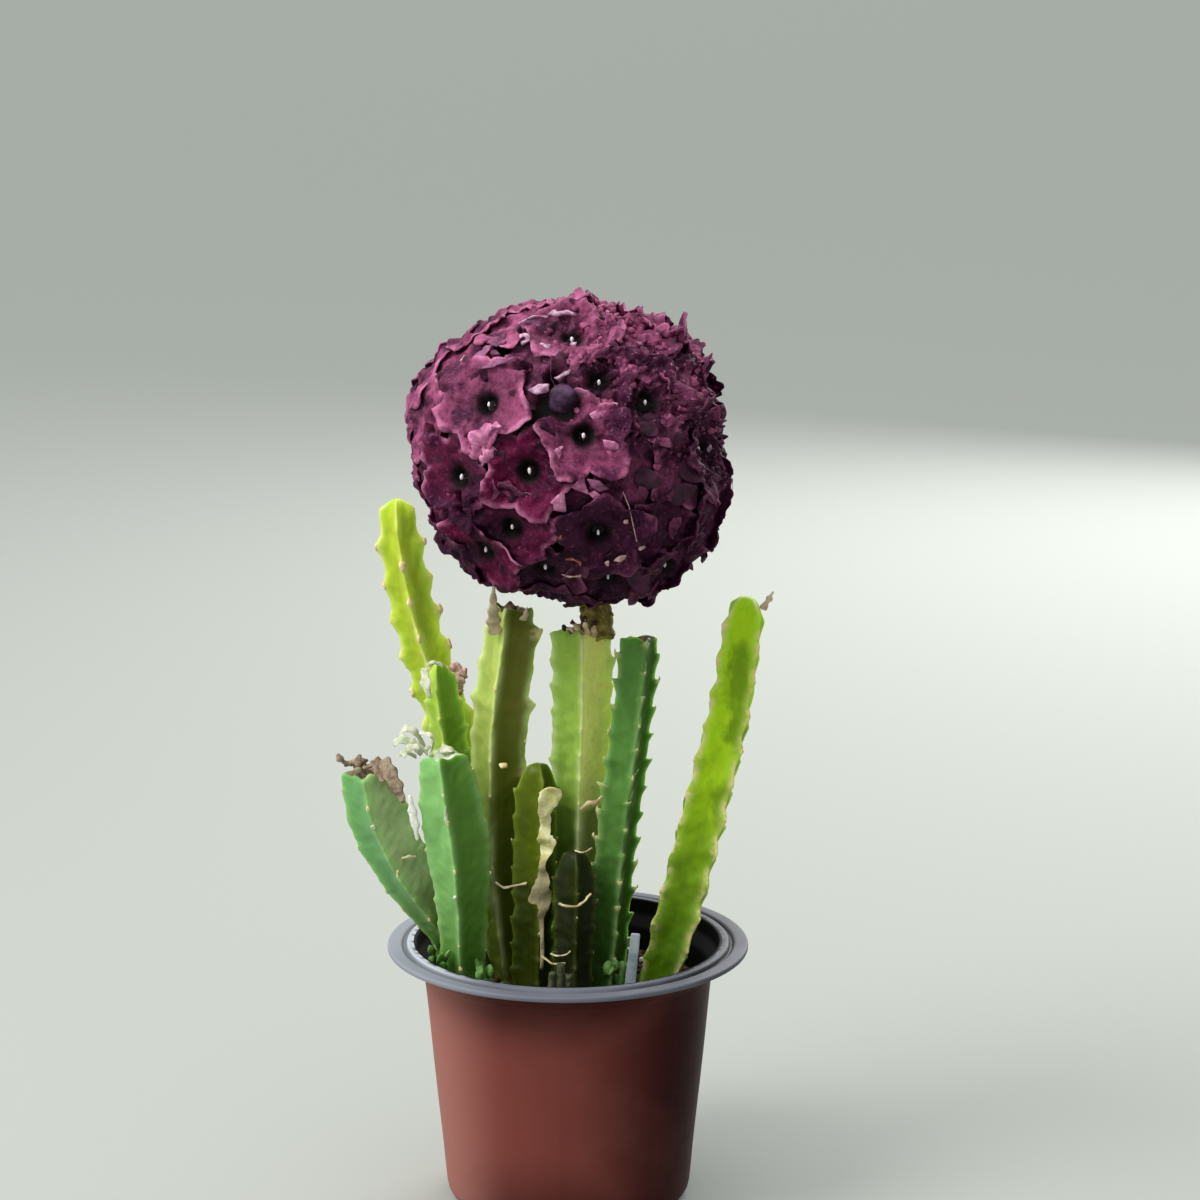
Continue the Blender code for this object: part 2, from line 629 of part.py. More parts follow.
def build_head():
    """The whole flower head: florets fused over a core, with a socket for the stalk."""
    mesh_builder = bmesh.new()
    bmesh.ops.create_icosphere(mesh_builder, subdivisions=2, radius=1.0)
    for vert in mesh_builder.verts:
        direction = vert.co.normalized()
        vert.co = HEAD_CENTRE + direction * (head_radius(direction) - CORE_DEPTH)
    head = object_from("flower_head", mesh_builder, principled("corolla", (0.10, 0.02, 0.06), 0.75))
    florets = bpy.data.collections.new("florets")
    bpy.context.scene.collection.children.link(florets)
    places, draws = spread_directions()
    for k, direction in enumerate(places):
        build_floret(k, direction, places, draws, florets)
    fuse(head, florets)
    sockets = bpy.data.collections.new("head_cutters")
    bpy.context.scene.collection.children.link(sockets)
    along = (STALK_END - STALK_START).normalized()
    hide(stalk_bar("stalk_socket", STALK_START, STALK_END + along * GAP,
                   STALK_RADIUS + SOCKET_CLEARANCE, STALK_END_RADIUS + SOCKET_CLEARANCE, sockets))
    cut_with(head, sockets)
    applied(head)
    keep_largest_body(head)
    return head


def build_husk():
    """A cream papery strip that hangs down the front of the middle short stem."""
    mesh_builder = bmesh.new()
    rings = []
    for k, (height, x, half) in enumerate(HUSK_STATIONS):
        front = HUSK_FRONT - (0.0005 if k % 2 else 0.0)
        back = front + HUSK_THICKNESS
        rings.append([Vector((x - half, front, height)), Vector((x + half, front, height)),
                      Vector((x + half, back, height)), Vector((x - half, back, height))])
    made = skin_rings(mesh_builder, rings)
    mesh_builder.faces.new(made[0])
    mesh_builder.faces.new(made[-1][::-1])
    bmesh.ops.triangulate(mesh_builder, faces=mesh_builder.faces, quad_method="FIXED")
    return object_from("dried_husk", mesh_builder, principled("dry_husk", (0.55, 0.48, 0.32), 0.8))


def main():
    """Build every piece."""
    clear_scene()
    build_pot()
    build_soil()
    for stem in STEMS:
        made = build_stem(stem, principled(stem.name + "_skin", stem.colour, 0.55))
        if stem.name == "flower_stem":
            stalks = bpy.data.collections.new("stalks")
            bpy.context.scene.collection.children.link(stalks)
            stalk_bar("stalk", STALK_START, STALK_END, STALK_RADIUS, STALK_END_RADIUS, stalks)
            fuse(made, stalks)
    build_head()
    build_label()
    build_husk()


main()
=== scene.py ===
"""Looks of a potted caralluma: a nursery pot, its soil, a clump of toothed stems and a ball of velvety florets.

Metres, +Z up and the front towards -Y, as in the frame.
"""

from __future__ import annotations

import logging
import math
from collections.abc import Callable, Sequence
from dataclasses import dataclass, field
from enum import Enum

import bmesh
import bpy
import numpy as np
from mathutils import Matrix, Vector


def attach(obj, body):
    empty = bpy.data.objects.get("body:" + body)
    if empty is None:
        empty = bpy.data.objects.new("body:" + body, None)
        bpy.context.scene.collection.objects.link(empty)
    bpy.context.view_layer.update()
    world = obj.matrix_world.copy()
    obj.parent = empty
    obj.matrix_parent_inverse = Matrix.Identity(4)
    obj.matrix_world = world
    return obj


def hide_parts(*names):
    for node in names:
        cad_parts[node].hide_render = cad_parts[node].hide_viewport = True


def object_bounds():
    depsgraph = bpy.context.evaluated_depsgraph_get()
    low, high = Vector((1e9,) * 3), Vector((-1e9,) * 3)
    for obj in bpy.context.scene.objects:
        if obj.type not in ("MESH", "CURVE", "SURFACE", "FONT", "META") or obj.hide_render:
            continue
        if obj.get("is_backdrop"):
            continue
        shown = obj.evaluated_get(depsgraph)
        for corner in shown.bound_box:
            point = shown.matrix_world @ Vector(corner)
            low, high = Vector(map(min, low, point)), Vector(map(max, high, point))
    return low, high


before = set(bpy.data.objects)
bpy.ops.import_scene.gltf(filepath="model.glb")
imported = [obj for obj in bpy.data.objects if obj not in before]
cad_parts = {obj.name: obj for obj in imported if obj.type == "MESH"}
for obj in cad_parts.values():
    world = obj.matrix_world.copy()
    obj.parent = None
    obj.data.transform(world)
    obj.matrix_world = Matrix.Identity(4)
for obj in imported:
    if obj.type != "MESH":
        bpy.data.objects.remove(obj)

LOG = logging.getLogger("potted_caralluma")
BODY = "root"
MM = 0.001
UP = np.array([0.0, 0.0, 1.0])
FRONT = np.array([0.0, -1.0, 0.0])

Colour = tuple[float, float, float]


def paint(red: float, green: float, blue: float) -> Colour:
    """Turn a colour as a screen shows it into the linear light that a shader takes.

    Args:
        red: Red, from 0 to 255.
        green: Green, from 0 to 255.
        blue: Blue, from 0 to 255.

    Returns:
        The colour in linear light.
    """
    return tuple(
        c / 12.92 if c <= 0.04045 else ((c + 0.055) / 1.055) ** 2.4
        for c in (red / 255, green / 255, blue / 255)
    )


def unit(vectors: np.ndarray) -> np.ndarray:
    """Vectors brought to length 1."""
    return vectors / np.maximum(np.linalg.norm(vectors, axis=-1, keepdims=True), 1e-12)


def smooth(value: np.ndarray, low: float, high: float) -> np.ndarray:
    """A soft step from 0 at low to 1 at high."""
    share = np.clip((value - low) / (high - low), 0.0, 1.0)
    return share * share * (3 - 2 * share)


def ripple(points: np.ndarray, wavelength: float, seed: int, waves: int = 9) -> np.ndarray:
    """Seeded smooth relief, mostly between -1 and 1.

    Args:
        points: Where to read it, in metres.
        wavelength: About how far apart its humps are.
        seed: Which relief.
        waves: How many plane waves are added up.

    Returns:
        One height for each point.
    """
    draws = np.random.default_rng(seed)
    towards = unit(draws.normal(size=(waves, 3))) * draws.uniform(0.7, 1.35, (waves, 1))
    phases = draws.uniform(0, 2 * math.pi, waves)
    return np.sin(points @ towards.T * (2 * math.pi / wavelength) + phases).sum(axis=-1) / math.sqrt(waves)


def grid_faces(rows: int, columns: int, around: bool = True, flip: bool = False) -> np.ndarray:
    """Quads between the points of a grid that is listed row by row.

    Args:
        rows: Number of rows of points.
        columns: Number of points in a row.
        around: Whether each row closes on itself.
        flip: Whether the faces turn the other way.

    Returns:
        One row of four point numbers for each quad.
    """
    row, column = np.meshgrid(np.arange(rows - 1), np.arange(columns if around else columns - 1), indexing="ij")
    a = row * columns + column
    b = row * columns + (column + 1) % columns
    faces = np.stack([a, b, b + columns, a + columns], axis=-1).reshape(-1, 4)
    return faces[:, ::-1] if flip else faces


def fan_faces(first: int, columns: int, middle: int, flip: bool = False) -> np.ndarray:
    """Triangles from a closed ring of points to one point in its middle."""
    a = np.arange(columns)
    faces = np.stack([first + a, first + (a + 1) % columns, np.full(columns, middle)], axis=-1)
    return faces[:, ::-1] if flip else faces


class Draft:
    """Points, faces and painted values of one piece, gathered before they become a mesh."""

    def __init__(self, *paints: str) -> None:
        """Start empty.

        Args:
            paints: Names of the values that each point carries for its material.
        """
        self.points: list[np.ndarray] = []
        self.faces: list[list[int]] = []
        self.finish: list[int] = []
        self.paints: dict[str, list[np.ndarray]] = {name: [] for name in paints}
        self.size = 0

    def add(self, points: np.ndarray, faces: Sequence[np.ndarray], finish: int = 0, **values: np.ndarray) -> None:
        """Add one patch.

        Args:
            points: Its points, in any shape that ends in 3.
            faces: Arrays of faces that number the patch's own points from 0.
            finish: Which of the piece's materials the faces take.
            values: Painted values, one for each point or one for all.
        """
        flat = np.asarray(points, float).reshape(-1, 3)
        for some in faces:
            self.faces.extend((some + self.size).tolist())
            self.finish.extend([finish] * len(some))
        for name, kept in self.paints.items():
            kept.append(np.broadcast_to(np.asarray(values.get(name, 0.0), float).reshape(-1), (len(flat),)))
        self.points.append(flat)
        self.size += len(flat)

    def piece(self, name: str, materials: Sequence[bpy.types.Material], slot: str, *stands_for: str) -> bpy.types.Object:
        """Make the mesh and set it into the frame.

        Args:
            name: The piece's name.
            materials: Its materials, in the order of their finish numbers.
            slot: The record's material slot that it belongs to; not used.
            stands_for: The frame's nodes that it takes the place of.

        Returns:
            The piece.
        """
        mesh = bpy.data.meshes.new(name)
        mesh.from_pydata(np.concatenate(self.points).tolist(), [], self.faces)
        for material in materials:
            mesh.materials.append(material)
        mesh.polygons.foreach_set("material_index", self.finish)
        mesh.shade_smooth()
        for label, kept in self.paints.items():
            attribute = mesh.attributes.new(label, "FLOAT", "POINT")
            attribute.data.foreach_set("value", np.concatenate(kept).astype(np.float32))
        thing = bpy.data.objects.new(name, mesh)
        bpy.context.scene.collection.objects.link(thing)
        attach(thing, BODY)
        if stands_for:
            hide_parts(*stands_for)
        triangles = sum(len(polygon.vertices) - 2 for polygon in mesh.polygons)
        LOG.info("%s: %d triangles", name, triangles)
        return thing


def shaft(draft: Draft, path: np.ndarray, wide: np.ndarray, thick: np.ndarray, side: np.ndarray,
          sides: int = 10, finish: int = 0, **values: np.ndarray) -> None:
    """Add a closed rod with an oval section: a stalk, a thread, or a strip when it is flat.

    Args:
        draft: Where it goes.
        path: Points along its middle.
        wide: Half-width along side at each point.
        thick: Half-thickness across side at each point.
        side: The direction of its width, one for all points or one for each.
        sides: Points round the section.
        finish: Which of the piece's materials it takes.
        values: Painted values, one for each point of the path or one for all.
    """
    path = np.asarray(path, float)
    count = len(path)
    along = unit(np.gradient(path, axis=0))
    side = np.broadcast_to(np.asarray(side, float), path.shape)
    across = unit(side - along * (side * along).sum(axis=1, keepdims=True))
    other = np.cross(along, across)
    turn = 2 * math.pi * np.arange(sides) / sides
    wide = np.broadcast_to(wide, count)[:, None, None]
    thick = np.broadcast_to(thick, count)[:, None, None]
    rings = (path[:, None] + across[:, None] * np.cos(turn)[:, None] * wide
             + other[:, None] * np.sin(turn)[:, None] * thick)
    points = np.concatenate([rings.reshape(-1, 3), path[:1], path[-1:]])
    faces = [grid_faces(count, sides), fan_faces(0, sides, count * sides, flip=True),
             fan_faces((count - 1) * sides, sides, count * sides + 1)]
    spread = {}
    for name, value in values.items():
        each = np.broadcast_to(value, count)
        spread[name] = np.concatenate([np.repeat(each, sides), each[:1], each[-1:]])
    draft.add(points, faces, finish, **spread)


def round_ball(steps: int) -> tuple[np.ndarray, np.ndarray]:
    """Points and triangles of an even ball of radius 1."""
    mesh = bmesh.new()
    bmesh.ops.create_icosphere(mesh, subdivisions=steps, radius=1.0)
    points = np.array([v.co for v in mesh.verts])
    faces = np.array([[v.index for v in f.verts] for f in mesh.faces])
    mesh.free()
    return points, faces


BALLS = {steps: round_ball(steps) for steps in (1, 2, 3)}


def lump(draft: Draft, middle: np.ndarray, sizes: np.ndarray, seed: int, steps: int = 2, rough: float = 0.22,
         finish: int = 0, frame_of: np.ndarray | None = None, **values: np.ndarray) -> None:
    """Add a rough closed lump, such as a crumb or a bud.

    Args:
        draft: Where it goes.
        middle: Its middle.
        sizes: Half its size along its three axes.
        seed: Which rough shape.
        steps: How fine it is, from 1 to 3.
        rough: Share by which its surface strays.
        finish: Which of the piece's materials it takes.
        frame_of: Its axes as the columns of a matrix, or none for the frame's own.
        values: Painted values, one for all its points.
    """
    ball, faces = BALLS[steps]
    strayed = ball * (1 + rough * ripple(ball, 1.7, seed))[:, None] * np.asarray(sizes)
    if frame_of is not None:
        strayed = strayed @ np.asarray(frame_of).T
    draft.add(np.asarray(middle) + strayed, [faces], finish, **values)


def turned_axes(direction: np.ndarray, spin: float = 0.0) -> np.ndarray:
    """Axes whose third column is a direction, spun about it."""
    axes = Vector(direction).to_track_quat("Z", "Y").to_matrix() @ Matrix.Rotation(spin, 3, "Z")
    return np.array(axes)


class Recipe:
    """A material's nodes, added by short calls."""

    def __init__(self, name: str, roughness: float, **settings: float | Colour) -> None:
        """Start a material.

        Args:
            name: The material's name.
            roughness: Its roughness all over.
            settings: Other constant inputs of the shader, by their names with underscores for spaces.
        """
        self.material = bpy.data.materials.new(name)
        self.material.use_nodes = True
        self.tree = self.material.node_tree
        self.shader = self.tree.nodes["Principled BSDF"]
        self.place = self.tree.nodes.new("ShaderNodeTexCoord").outputs["Object"]
        self.shader.inputs["Roughness"].default_value = roughness
        for label, value in settings.items():
            given = (*value, 1.0) if label.endswith("Tint") else value
            self.shader.inputs[label.replace("_", " ")].default_value = given

    def _feed(self, socket: bpy.types.NodeSocket, value: object) -> None:
        """Link a socket, or set a colour or number on it."""
        if isinstance(value, bpy.types.NodeSocket):
            self.tree.links.new(value, socket)
        elif isinstance(value, tuple) and socket.type == "RGBA":
            socket.default_value = (*value, 1.0)
        else:
            socket.default_value = value

    def painted(self, name: str) -> bpy.types.NodeSocket:
        """A value painted on the mesh."""
        node = self.tree.nodes.new("ShaderNodeAttribute")
        node.attribute_name = name
        return node.outputs["Fac"]

    def noise(self, size: float, detail: float = 3.0, stretch: tuple[float, float, float] = (1, 1, 1),
              rough: float = 0.55) -> bpy.types.NodeSocket:
        """Cloudy noise.

        Args:
            size: About how large its patches are, in metres.
            detail: How many finer layers it holds.
            stretch: How much longer its patches are along X, Y and Z.
            rough: How strong the finer layers are.

        Returns:
            Its value, from 0 to 1.
        """
        place = self.tree.nodes.new("ShaderNodeMapping")
        place.inputs["Scale"].default_value = [1 / s for s in stretch]
        self.tree.links.new(self.place, place.inputs["Vector"])
        node = self.tree.nodes.new("ShaderNodeTexNoise")
        self.tree.links.new(place.outputs["Vector"], node.inputs["Vector"])
        node.inputs["Scale"].default_value = 1 / size
        node.inputs["Detail"].default_value = detail
        node.inputs["Roughness"].default_value = rough
        return node.outputs["Fac"]

    def step(self, value: bpy.types.NodeSocket, low: float, high: float, start: float = 0.0,
             end: float = 1.0) -> bpy.types.NodeSocket:
        """Map low..high of a value to start..end, softly."""
        node = self.tree.nodes.new("ShaderNodeMapRange")
        node.interpolation_type = "SMOOTHSTEP"
        self._feed(node.inputs["Value"], value)
        for label, number in (("From Min", low), ("From Max", high), ("To Min", start), ("To Max", end)):
            node.inputs[label].default_value = number
        return node.outputs["Result"]

    def sum_up(self, operation: str, first: object, second: object) -> bpy.types.NodeSocket:
        """One sum, such as ADD or MULTIPLY."""
        node = self.tree.nodes.new("ShaderNodeMath")
        node.operation = operation
        self._feed(node.inputs[0], first)
        self._feed(node.inputs[1], second)
        return node.outputs[0]

    def blend(self, share: object, first: object, second: object, kind: str = "MIX") -> bpy.types.NodeSocket:
        """Two colours mixed by a share."""
        node = self.tree.nodes.new("ShaderNodeMix")
        node.data_type = "RGBA"
        node.blend_type = kind
        self._feed(node.inputs[0], share)
        self._feed(node.inputs[6], first)
        self._feed(node.inputs[7], second)
        return node.outputs[2]

    def colour(self, value: object) -> Recipe:
        """Set the base colour."""
        self._feed(self.shader.inputs["Base Color"], value)
        return self

    def roughness(self, value: bpy.types.NodeSocket) -> Recipe:
        """Let the roughness vary."""
        self._feed(self.shader.inputs["Roughness"], value)
        return self

    def relief(self, *layers: tuple[bpy.types.NodeSocket, float]) -> Recipe:
        """Fine relief from layers of (height from 0 to 1, depth in metres)."""
        normal = None
        for height, depth in layers:
            node = self.tree.nodes.new("ShaderNodeBump")
            node.inputs["Distance"].default_value = depth
            self.tree.links.new(height, node.inputs["Height"])
            if normal:
                self.tree.links.new(normal, node.inputs["Normal"])
            normal = node.outputs["Normal"]
        self.tree.links.new(normal, self.shader.inputs["Normal"])
        return self


@dataclass(frozen=True)
class PotPlastic:
    """Thin satin plastic that was moulded in two colours and has been handled."""

    name: str
    body: Colour
    dust_and_highlight: Colour
    fresh: Colour
    roughness: float
    shine: float = 0.12
    cloudy: float = 0.10

    def material(self) -> bpy.types.Material:
        """The plastic, with cloudy dust and fine scuffs, lightened by a painted highlight and darkened by painted shade
        where the mesh is painted with them.
        """
        recipe = Recipe(self.name, self.roughness, Specular_IOR_Level=self.shine)
        clouds = recipe.step(recipe.noise(0.030, 4.0), 0.40, 0.75, 0.0, self.cloudy)
        scuffs = recipe.step(recipe.noise(0.0022, 3.0, (5, 5, 1)), 0.62, 0.80, 0.0, self.cloudy)
        # Painted shade: the plastic turns to the shade colour where the mesh is painted with shade.
        plastic = recipe.blend(recipe.painted("fresh"), self.body, self.fresh)
        # Real dust and scuffs, and the painted highlight, all lighten towards the same pale colour.
        dust_and_highlight = recipe.sum_up("MAXIMUM", recipe.sum_up("MAXIMUM", clouds, scuffs), recipe.painted("faded"))
        recipe.colour(recipe.blend(dust_and_highlight, plastic, self.dust_and_highlight))
        recipe.roughness(recipe.step(dust_and_highlight, 0.0, 0.6, self.roughness, self.roughness + 0.14))
        return recipe.relief((recipe.noise(0.0009, 2.0), 0.00002), (recipe.noise(0.016, 1.0), 0.00012)).material


@dataclass(frozen=True)
class StemSkin:
    """Waxy succulent skin: green, darker at the foot, pale on the ridges, with painted light and shade on its right
    front faces.
    """

    name: str
    slot: str
    body: Colour
    foot: Colour
    ridge: Colour
    # Painted light and shade: the colour of the right front faces as the light falls on them, darker than the body on
    # some stems and paler on others.
    shaded: Colour
    pale: float = 0.5
    mottle: float = 0.25
    glow: float = 0.35

    def material(self) -> bpy.types.Material:
        """The skin."""
        recipe = Recipe(self.name, 0.46, Subsurface_Weight=self.glow, Subsurface_Radius=(0.55, 1.0, 0.12),
                        Subsurface_Scale=0.0060, Specular_IOR_Level=0.14)
        blotches = recipe.noise(0.0085, 4.0, (1, 1, 1.8))
        # Painted light and shade on the right front faces.
        skin = recipe.blend(recipe.painted("shaded"), self.body, self.shaded)
        grown = recipe.sum_up("ADD", recipe.painted("height"), recipe.step(blotches, 0.2, 0.8, -0.12, 0.12))
        skin = recipe.blend(recipe.step(grown, 0.10, 0.70, 0.9, 0.0), skin, self.foot)
        skin = recipe.blend(recipe.step(blotches, 0.46, 0.64, 0.0, self.mottle), skin, self.foot)
        freckles = recipe.step(recipe.noise(0.0016, 4.0), 0.50, 0.74, 0.0, 0.16)
        skin = recipe.blend(freckles, skin, self.foot)
        pale = recipe.sum_up("MULTIPLY", recipe.painted("ridge"), recipe.step(blotches, 0.35, 0.60, 0.1, self.pale))
        skin = recipe.blend(pale, skin, self.ridge)
        tan = recipe.sum_up("MULTIPLY", recipe.painted("scar"), recipe.step(recipe.noise(0.0040, 4.0), 0.44, 0.58))
        recipe.colour(recipe.blend(tan, skin, paint(222, 200, 156)))
        recipe.roughness(recipe.step(blotches, 0.3, 0.7, 0.38, 0.56))
        return recipe.relief((recipe.noise(0.0006, 2.0), 0.00005), (recipe.noise(0.0040, 2.0), 0.00030)).material


@dataclass(frozen=True)
class Petal:
    """Velvety corolla flesh, paler along its thick edge, partly its own colour and partly a painted highlight, with
    painted shade: plum away from the light and near black in the throats, the gaps and under overlapping edges.
    """

    name: str
    light: Colour
    rich: Colour
    # The plum of painted shade, also used for random darker patches.
    dusk: Colour
    # The pale edge colour, also used for the painted highlight along the edges.
    edge: Colour
    # Near black: the painted shade in throats, gaps and under edges, also used for dark grain.
    throat: Colour
    speck: Colour

    def material(self) -> bpy.types.Material:
        """The flesh, whose colour drifts from floret to floret."""
        recipe = Recipe(self.name, 0.60, Subsurface_Weight=0.08, Subsurface_Radius=(1.0, 0.18, 0.35),
                        Subsurface_Scale=0.0010, Sheen_Weight=0.03, Sheen_Roughness=0.45,
                        Sheen_Tint=paint(214, 120, 170), Specular_IOR_Level=0.10)
        clouds = recipe.noise(0.0090, 6.0, rough=0.6)
        grain = recipe.noise(0.0012, 4.0, rough=0.65)
        crumbly = recipe.painted("crumple")
        flesh = recipe.blend(recipe.step(recipe.painted("tint"), 0.0, 1.0), self.light, self.rich)
        flesh = recipe.blend(recipe.step(clouds, 0.46, 0.62, 0.0, 0.82), flesh, self.dusk)
        # Painted shade: florets facing away from the light, the bowls and the flesh under overlapping edges darken
        # towards plum.
        flesh = recipe.blend(recipe.sum_up("MULTIPLY", recipe.painted("dusk"), 0.85), flesh, self.dusk)
        flesh = recipe.blend(recipe.step(grain, 0.54, 0.76, 0.0, 0.22), flesh, self.edge)
        flesh = recipe.blend(recipe.step(grain, 0.48, 0.30, 0.0, 0.60), flesh, self.throat)
        # Painted highlight along the thick edges, weaker in painted shade.
        lit = recipe.sum_up("MULTIPLY", recipe.painted("edge"), recipe.step(clouds, 0.56, 0.40, 0.0, 0.70))
        lit = recipe.sum_up("MULTIPLY", lit, recipe.step(recipe.painted("dusk"), 0.2, 1.0, 1.0, 0.25))
        flesh = recipe.blend(lit, flesh, self.edge)
        # Pale specks on the crumpled tissue, partly its own pale bits and partly painted highlight on its tiny bumps.
        specks = recipe.step(recipe.noise(0.0013, 2.0, rough=0.7), 0.60, 0.70)
        flesh = recipe.blend(recipe.sum_up("MULTIPLY", specks, recipe.sum_up("MULTIPLY", crumbly, 0.6)), flesh, self.speck)
        # Painted shade: near black in the throats, in the gaps between florets and right under overlapping edges.
        recipe.colour(recipe.blend(recipe.painted("throat"), flesh, self.throat))
        return recipe.relief((grain, 0.00030), (recipe.noise(0.0034, 3.0), 0.0005)).material


@dataclass(frozen=True)
class Plain:
    """A matt, mottled finish for soil, husk, dry bits and other small things."""

    name: str
    first: Colour
    second: Colour
    patch: float
    roughness: float = 0.85
    grain: float = 0.0002
    glow: float = 0.0
    painted: str = ""
    third: Colour = (0.0, 0.0, 0.0)

    def material(self) -> bpy.types.Material:
        """The finish, with a third colour where the piece is painted with it."""
        recipe = Recipe(self.name, self.roughness, Subsurface_Weight=self.glow, Subsurface_Scale=0.001,
                        Specular_IOR_Level=0.3)
        patches = recipe.noise(self.patch, 4.0)
        shown = recipe.blend(recipe.step(patches, 0.35, 0.65), self.first, self.second)
        if self.painted:
            shown = recipe.blend(recipe.painted(self.painted), shown, self.third)
        recipe.colour(shown)
        return recipe.relief((recipe.noise(self.patch / 3, 3.0), self.grain)).material


# Each plastic: its own colour, the pale colour of dust, scuffs and painted highlight, then the colour of painted shade.
POT_OUTSIDE = PotPlastic("pot_outside", paint(116, 58, 52), paint(156, 102, 94), paint(42, 9, 10), 0.42, 0.04)
POT_RIM = PotPlastic("pot_rim", paint(101, 102, 115), paint(190, 196, 206), paint(14, 14, 18), 0.48)
POT_INSIDE = PotPlastic("pot_inside", paint(4, 4, 5), paint(14, 14, 15), paint(3, 3, 4), 0.6, 0.08)
POTTING_MIX = Plain("potting_mix", paint(34, 25, 19), paint(64, 48, 36), 0.003, 0.95, 0.0005)
BARK = Plain("bark_crumbs", paint(46, 32, 22), paint(96, 70, 48), 0.0025, 0.9, 0.0004)
PERLITE = Plain("perlite", paint(214, 212, 205), paint(238, 236, 230), 0.0015, 0.9, 0.0003, 0.1)
DRY_SCALE = Plain("dry_scale", paint(238, 226, 178), paint(206, 176, 122), 0.0016, 0.75, 0.0001)
HUSK = Plain("dry_husk", paint(226, 220, 176), paint(188, 184, 112), 0.003, 0.8, 0.0003, 0.15, "low", paint(150, 141, 106))
WITHERED = Plain("withered_tissue", paint(164, 146, 124), paint(112, 92, 76), 0.0022, 0.9, 0.0004)
PALE_TISSUE = Plain("pale_tissue", paint(216, 218, 196), paint(160, 170, 138), 0.003, 0.6, 0.0002, 0.2)
LABEL_PLASTIC = Plain("label_plastic", paint(172, 184, 190), paint(138, 150, 156), 0.004, 0.45, 0.0001)
STALK_FLESH = Plain("stalk_flesh", paint(150, 136, 60), paint(92, 72, 30), 0.0022, 0.7, 0.0004, 0.1)
# A near-black colour for the ball inside the head: painted shade for the gaps between the florets.
HEAD_CORE_SHADE = Plain("head_core_shade", paint(14, 5, 12), paint(6, 2, 5), 0.004, 0.9, 0.0006)
CORONA = Plain("corona", paint(34, 8, 24), paint(14, 3, 11), 0.0015, 0.3, 0.0001)
# Near white and glossy: the pale stigma head and the painted glint on it.
STIGMA_GLINT = Plain("stigma_glint", paint(250, 240, 244), paint(232, 206, 220), 0.0006, 0.25, 0.00005, 0.2)
PALE_BITS = Plain("pale_bits", paint(206, 168, 190), paint(138, 92, 124), 0.0018, 0.6, 0.0003, 0.1)
PINK_LOBE = Plain("pink_lobe", paint(214, 138, 174), paint(156, 84, 124), 0.0030, 0.6, 0.0003, 0.1)
BUD_SKIN = Plain("bud_skin", paint(88, 56, 88), paint(36, 20, 40), 0.0036, 0.6, 0.0004)
MAUVE_LOBE = Plain("mauve_lobe", paint(142, 82, 118), paint(88, 38, 72), 0.0030, 0.65, 0.0004, 0.1)
DARK_LOBE = Plain("dark_lobe", paint(70, 24, 54), paint(40, 12, 32), 0.0035, 0.7, 0.0004)
CREAM_BITS = Plain("cream_bits", paint(222, 206, 168), paint(170, 142, 104), 0.0022, 0.7, 0.0002, 0.1)
PINKISH_BITS = Plain("pinkish_bits", paint(214, 184, 178), paint(158, 114, 112), 0.0020, 0.65, 0.0002, 0.1)
CHARRED = Plain("charred_tips", paint(40, 26, 24), paint(72, 46, 30), 0.0015, 0.8, 0.0003)
DARK_STUB = Plain("dark_stub", paint(44, 52, 34), paint(84, 88, 60), 0.003, 0.8, 0.0003)
AWL = Plain("dried_awl", paint(218, 198, 172), paint(176, 156, 128), 0.0040, 0.75, 0.00015)
YOUNG_GREEN = Plain("young_green", paint(122, 166, 84), paint(52, 96, 34), 0.004, 0.5, 0.0002, 0.2)
RUSTY_BITS = Plain("rusty_bits", paint(176, 110, 92), paint(110, 48, 48), 0.002, 0.7, 0.0002)
# The throat colour is the near-black painted shade, the dusk colour the plum of painted shade, and the edge colour also
# the painted highlight.
COROLLA = Petal("corolla", light=paint(152, 74, 112), rich=paint(112, 6, 60), dusk=paint(42, 6, 38),
                edge=paint(212, 132, 172), throat=paint(3, 1, 3), speck=paint(204, 128, 164))


